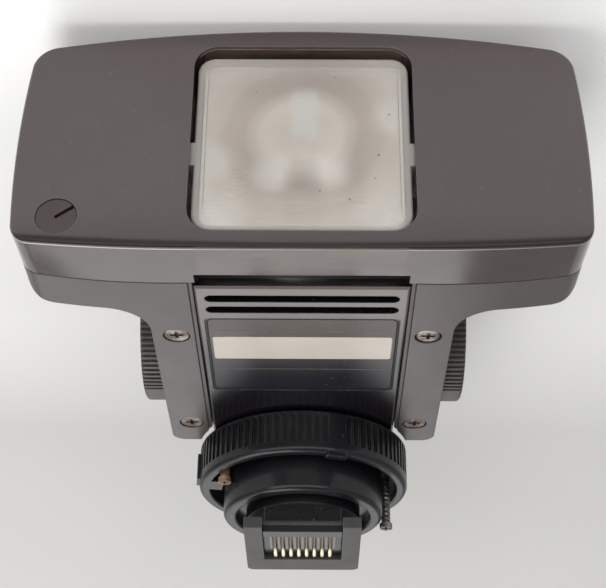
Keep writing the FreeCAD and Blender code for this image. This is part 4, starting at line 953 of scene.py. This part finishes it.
def makeComb():
    values = combSettings
    sizes = {"Count": values["count"], "Pitch": values["pitch"], "Width": values["width"],
             "Height": values["high"] - values["low"], "Length": values["rear"] - values["front"],
             "Rounding": values["rounding"]}
    tree, given = startTree("contactComb", sizes)
    outline = addNode(tree, "GeometryNodeCurvePrimitiveQuadrilateral", {
        "Width": given["Width"], "Height": given["Length"]})
    soft = addNode(tree, "GeometryNodeFilletCurve", {
        "Curve": outline.outputs[0], "Radius": given["Rounding"], "Count": values["cornerSteps"]}, mode="POLY")
    face = addNode(tree, "GeometryNodeFillCurve", {"Curve": soft.outputs[0]}, mode="NGONS")
    rise = addNode(tree, "ShaderNodeCombineXYZ", {"Z": given["Height"]})
    block = addNode(tree, "GeometryNodeExtrudeMesh", {
        "Mesh": face.outputs[0], "Offset": rise.outputs[0], "Offset Scale": 1.0, "Individual": False})
    turned = addNode(tree, "GeometryNodeFlipFaces", {"Mesh": face.outputs[0]})
    whole = addNode(tree, "GeometryNodeJoinGeometry")
    tree.links.new(block.outputs[0], whole.inputs[0])
    tree.links.new(turned.outputs[0], whole.inputs[0])
    middle = (0, (values["front"] + values["rear"]) / 2, values["low"])
    row = addRow(tree, given, whole.outputs[0])
    put = addNode(tree, "GeometryNodeTransform", {"Geometry": row, "Translation": middle})
    piece = runTree("contactComb", tree, put.outputs[0], sizes, materials["carrierBeige"])
    finishMesh(piece, values["smoothAngle"])
    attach(piece, "base")


makeComb()


# threads on the two screws beside the collar

# each screw: its angle round the ring's axis in degrees, and the thread's ends
threadSettings = {
    "circle": 14.2 * mm,
    "core": 0.62 * mm,
    "crest": 0.19 * mm,
    "pitch": 0.40 * mm,
    "turnSteps": 18,
    "sides": 4,
    "smoothAngle": 30,
    "screws": ((14, 6.0 * mm, 12.6 * mm), (207, 10.0 * mm, 12.6 * mm)),
}


def makeThreads():
    values = threadSettings
    for number, (degrees, low, high) in enumerate(values["screws"]):
        sizes = {"Core": values["core"], "Crest": values["crest"], "Pitch": values["pitch"],
                 "Length": high - low}
        tree, given = startTree("screwThread", sizes)
        turns = addMath(tree, "DIVIDE", given["Length"], given["Pitch"])
        helix = addNode(tree, "GeometryNodeCurveSpiral", {
            "Resolution": values["turnSteps"], "Rotations": turns, "Start Radius": given["Core"],
            "End Radius": given["Core"], "Height": given["Length"]})
        wedge = addNode(tree, "GeometryNodeCurvePrimitiveCircle", {
            "Resolution": values["sides"], "Radius": given["Crest"]})
        ridge = addNode(tree, "GeometryNodeCurveToMesh", {
            "Curve": helix.outputs[0], "Profile Curve": wedge.outputs[0], "Fill Caps": True})
        angle = math.radians(degrees)
        spot = (values["circle"] * math.cos(angle), values["circle"] * math.sin(angle), low)
        put = addNode(tree, "GeometryNodeTransform", {"Geometry": ridge.outputs[0], "Translation": spot})
        name = "screwThread%d" % (number + 1)
        piece = runTree(name, tree, put.outputs[0], sizes, materials["keeperSteel"])
        finishMesh(piece, values["smoothAngle"])
        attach(piece, "base")


makeThreads()
print("foot: contacts, comb and screw threads")


# the print on the plate: a pale field, a border and two rules, with no words

printSettings = {
    "level": 17.45 * mm,
    "thick": 0.03 * mm,
    "field": (-12.9 * mm, -40.7 * mm, 12.9 * mm, -33.9 * mm),
    "border": (-13.5 * mm, -46.1 * mm, 13.5 * mm, -23.7 * mm),
    "borderWidth": 0.22 * mm,
    "rules": (-42.6 * mm, -30.6 * mm),
    "ruleInset": 1.2 * mm,
    "ruleWidth": 0.12 * mm,
    "ruleCorner": 0.05 * mm,
    "corner": 1.1 * mm,
    "fieldCorner": 0.5 * mm,
    "cornerSteps": 6,
}


def roundedLoop(low, high, corner):
    points = []
    steps = printSettings["cornerSteps"]
    left, front, right, rear = low[0] + corner, low[1] + corner, high[0] - corner, high[1] - corner
    for turn, (x, y) in enumerate(((right, rear), (left, rear), (left, front), (right, front))):
        for step in range(steps + 1):
            angle = math.pi / 2 * (turn + step / steps)
            points.append((x + corner * math.cos(angle), y + corner * math.sin(angle)))
    return points


def addPrint(shape, outer, inner, top, thick):
    # a thin raised layer on a face that looks down; inner is the hole's loop, or nothing
    low = [[shape.verts.new((x, y, top - thick)) for x, y in loop] for loop in (outer, inner) if loop]
    high = [[shape.verts.new((x, y, top)) for x, y in loop] for loop in (outer, inner) if loop]
    for bottom, roof in zip(low, high):
        for here in range(len(bottom)):
            after = (here + 1) % len(bottom)
            shape.faces.new((bottom[here], bottom[after], roof[after], roof[here]))
    for level in (low, high):
        if inner:
            for here in range(len(outer)):
                after = (here + 1) % len(outer)
                shape.faces.new((level[0][here], level[0][after], level[1][after], level[1][here]))
        else:
            shape.faces.new(level[0])


def makePrint(name, loops, material):
    shape = bmesh.new()
    for outer, inner in loops:
        addPrint(shape, outer, inner, printSettings["level"], printSettings["thick"])
    mesh = bpy.data.meshes.new(name)
    bmesh.ops.recalc_face_normals(shape, faces=shape.faces)
    shape.to_mesh(mesh)
    shape.free()
    piece = bpy.data.objects.new(name, mesh)
    scene.collection.objects.link(piece)
    mesh.materials.append(materials[material])
    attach(piece, "base")


def makePlatePrint():
    values = printSettings
    left, front, right, rear = values["border"]
    wide = values["borderWidth"]
    border = (roundedLoop((left, front), (right, rear), values["corner"]),
              roundedLoop((left + wide, front + wide), (right - wide, rear - wide), values["corner"] - wide))
    ends = left + values["ruleInset"], right - values["ruleInset"]
    rules = [(roundedLoop((ends[0], y), (ends[1], y + values["ruleWidth"]), values["ruleCorner"]), None)
             for y in values["rules"]]
    makePrint("plateBorder", [border], "printBlack")
    makePrint("plateRules", rules, "printGrey")
    x0, y0, x1, y1 = values["field"]
    field = roundedLoop((x0, y0), (x1, y1), values["fieldCorner"])
    makePrint("plateField", [(field, None)], "printCream")


makePlatePrint()
print("plate: field, border and rules")
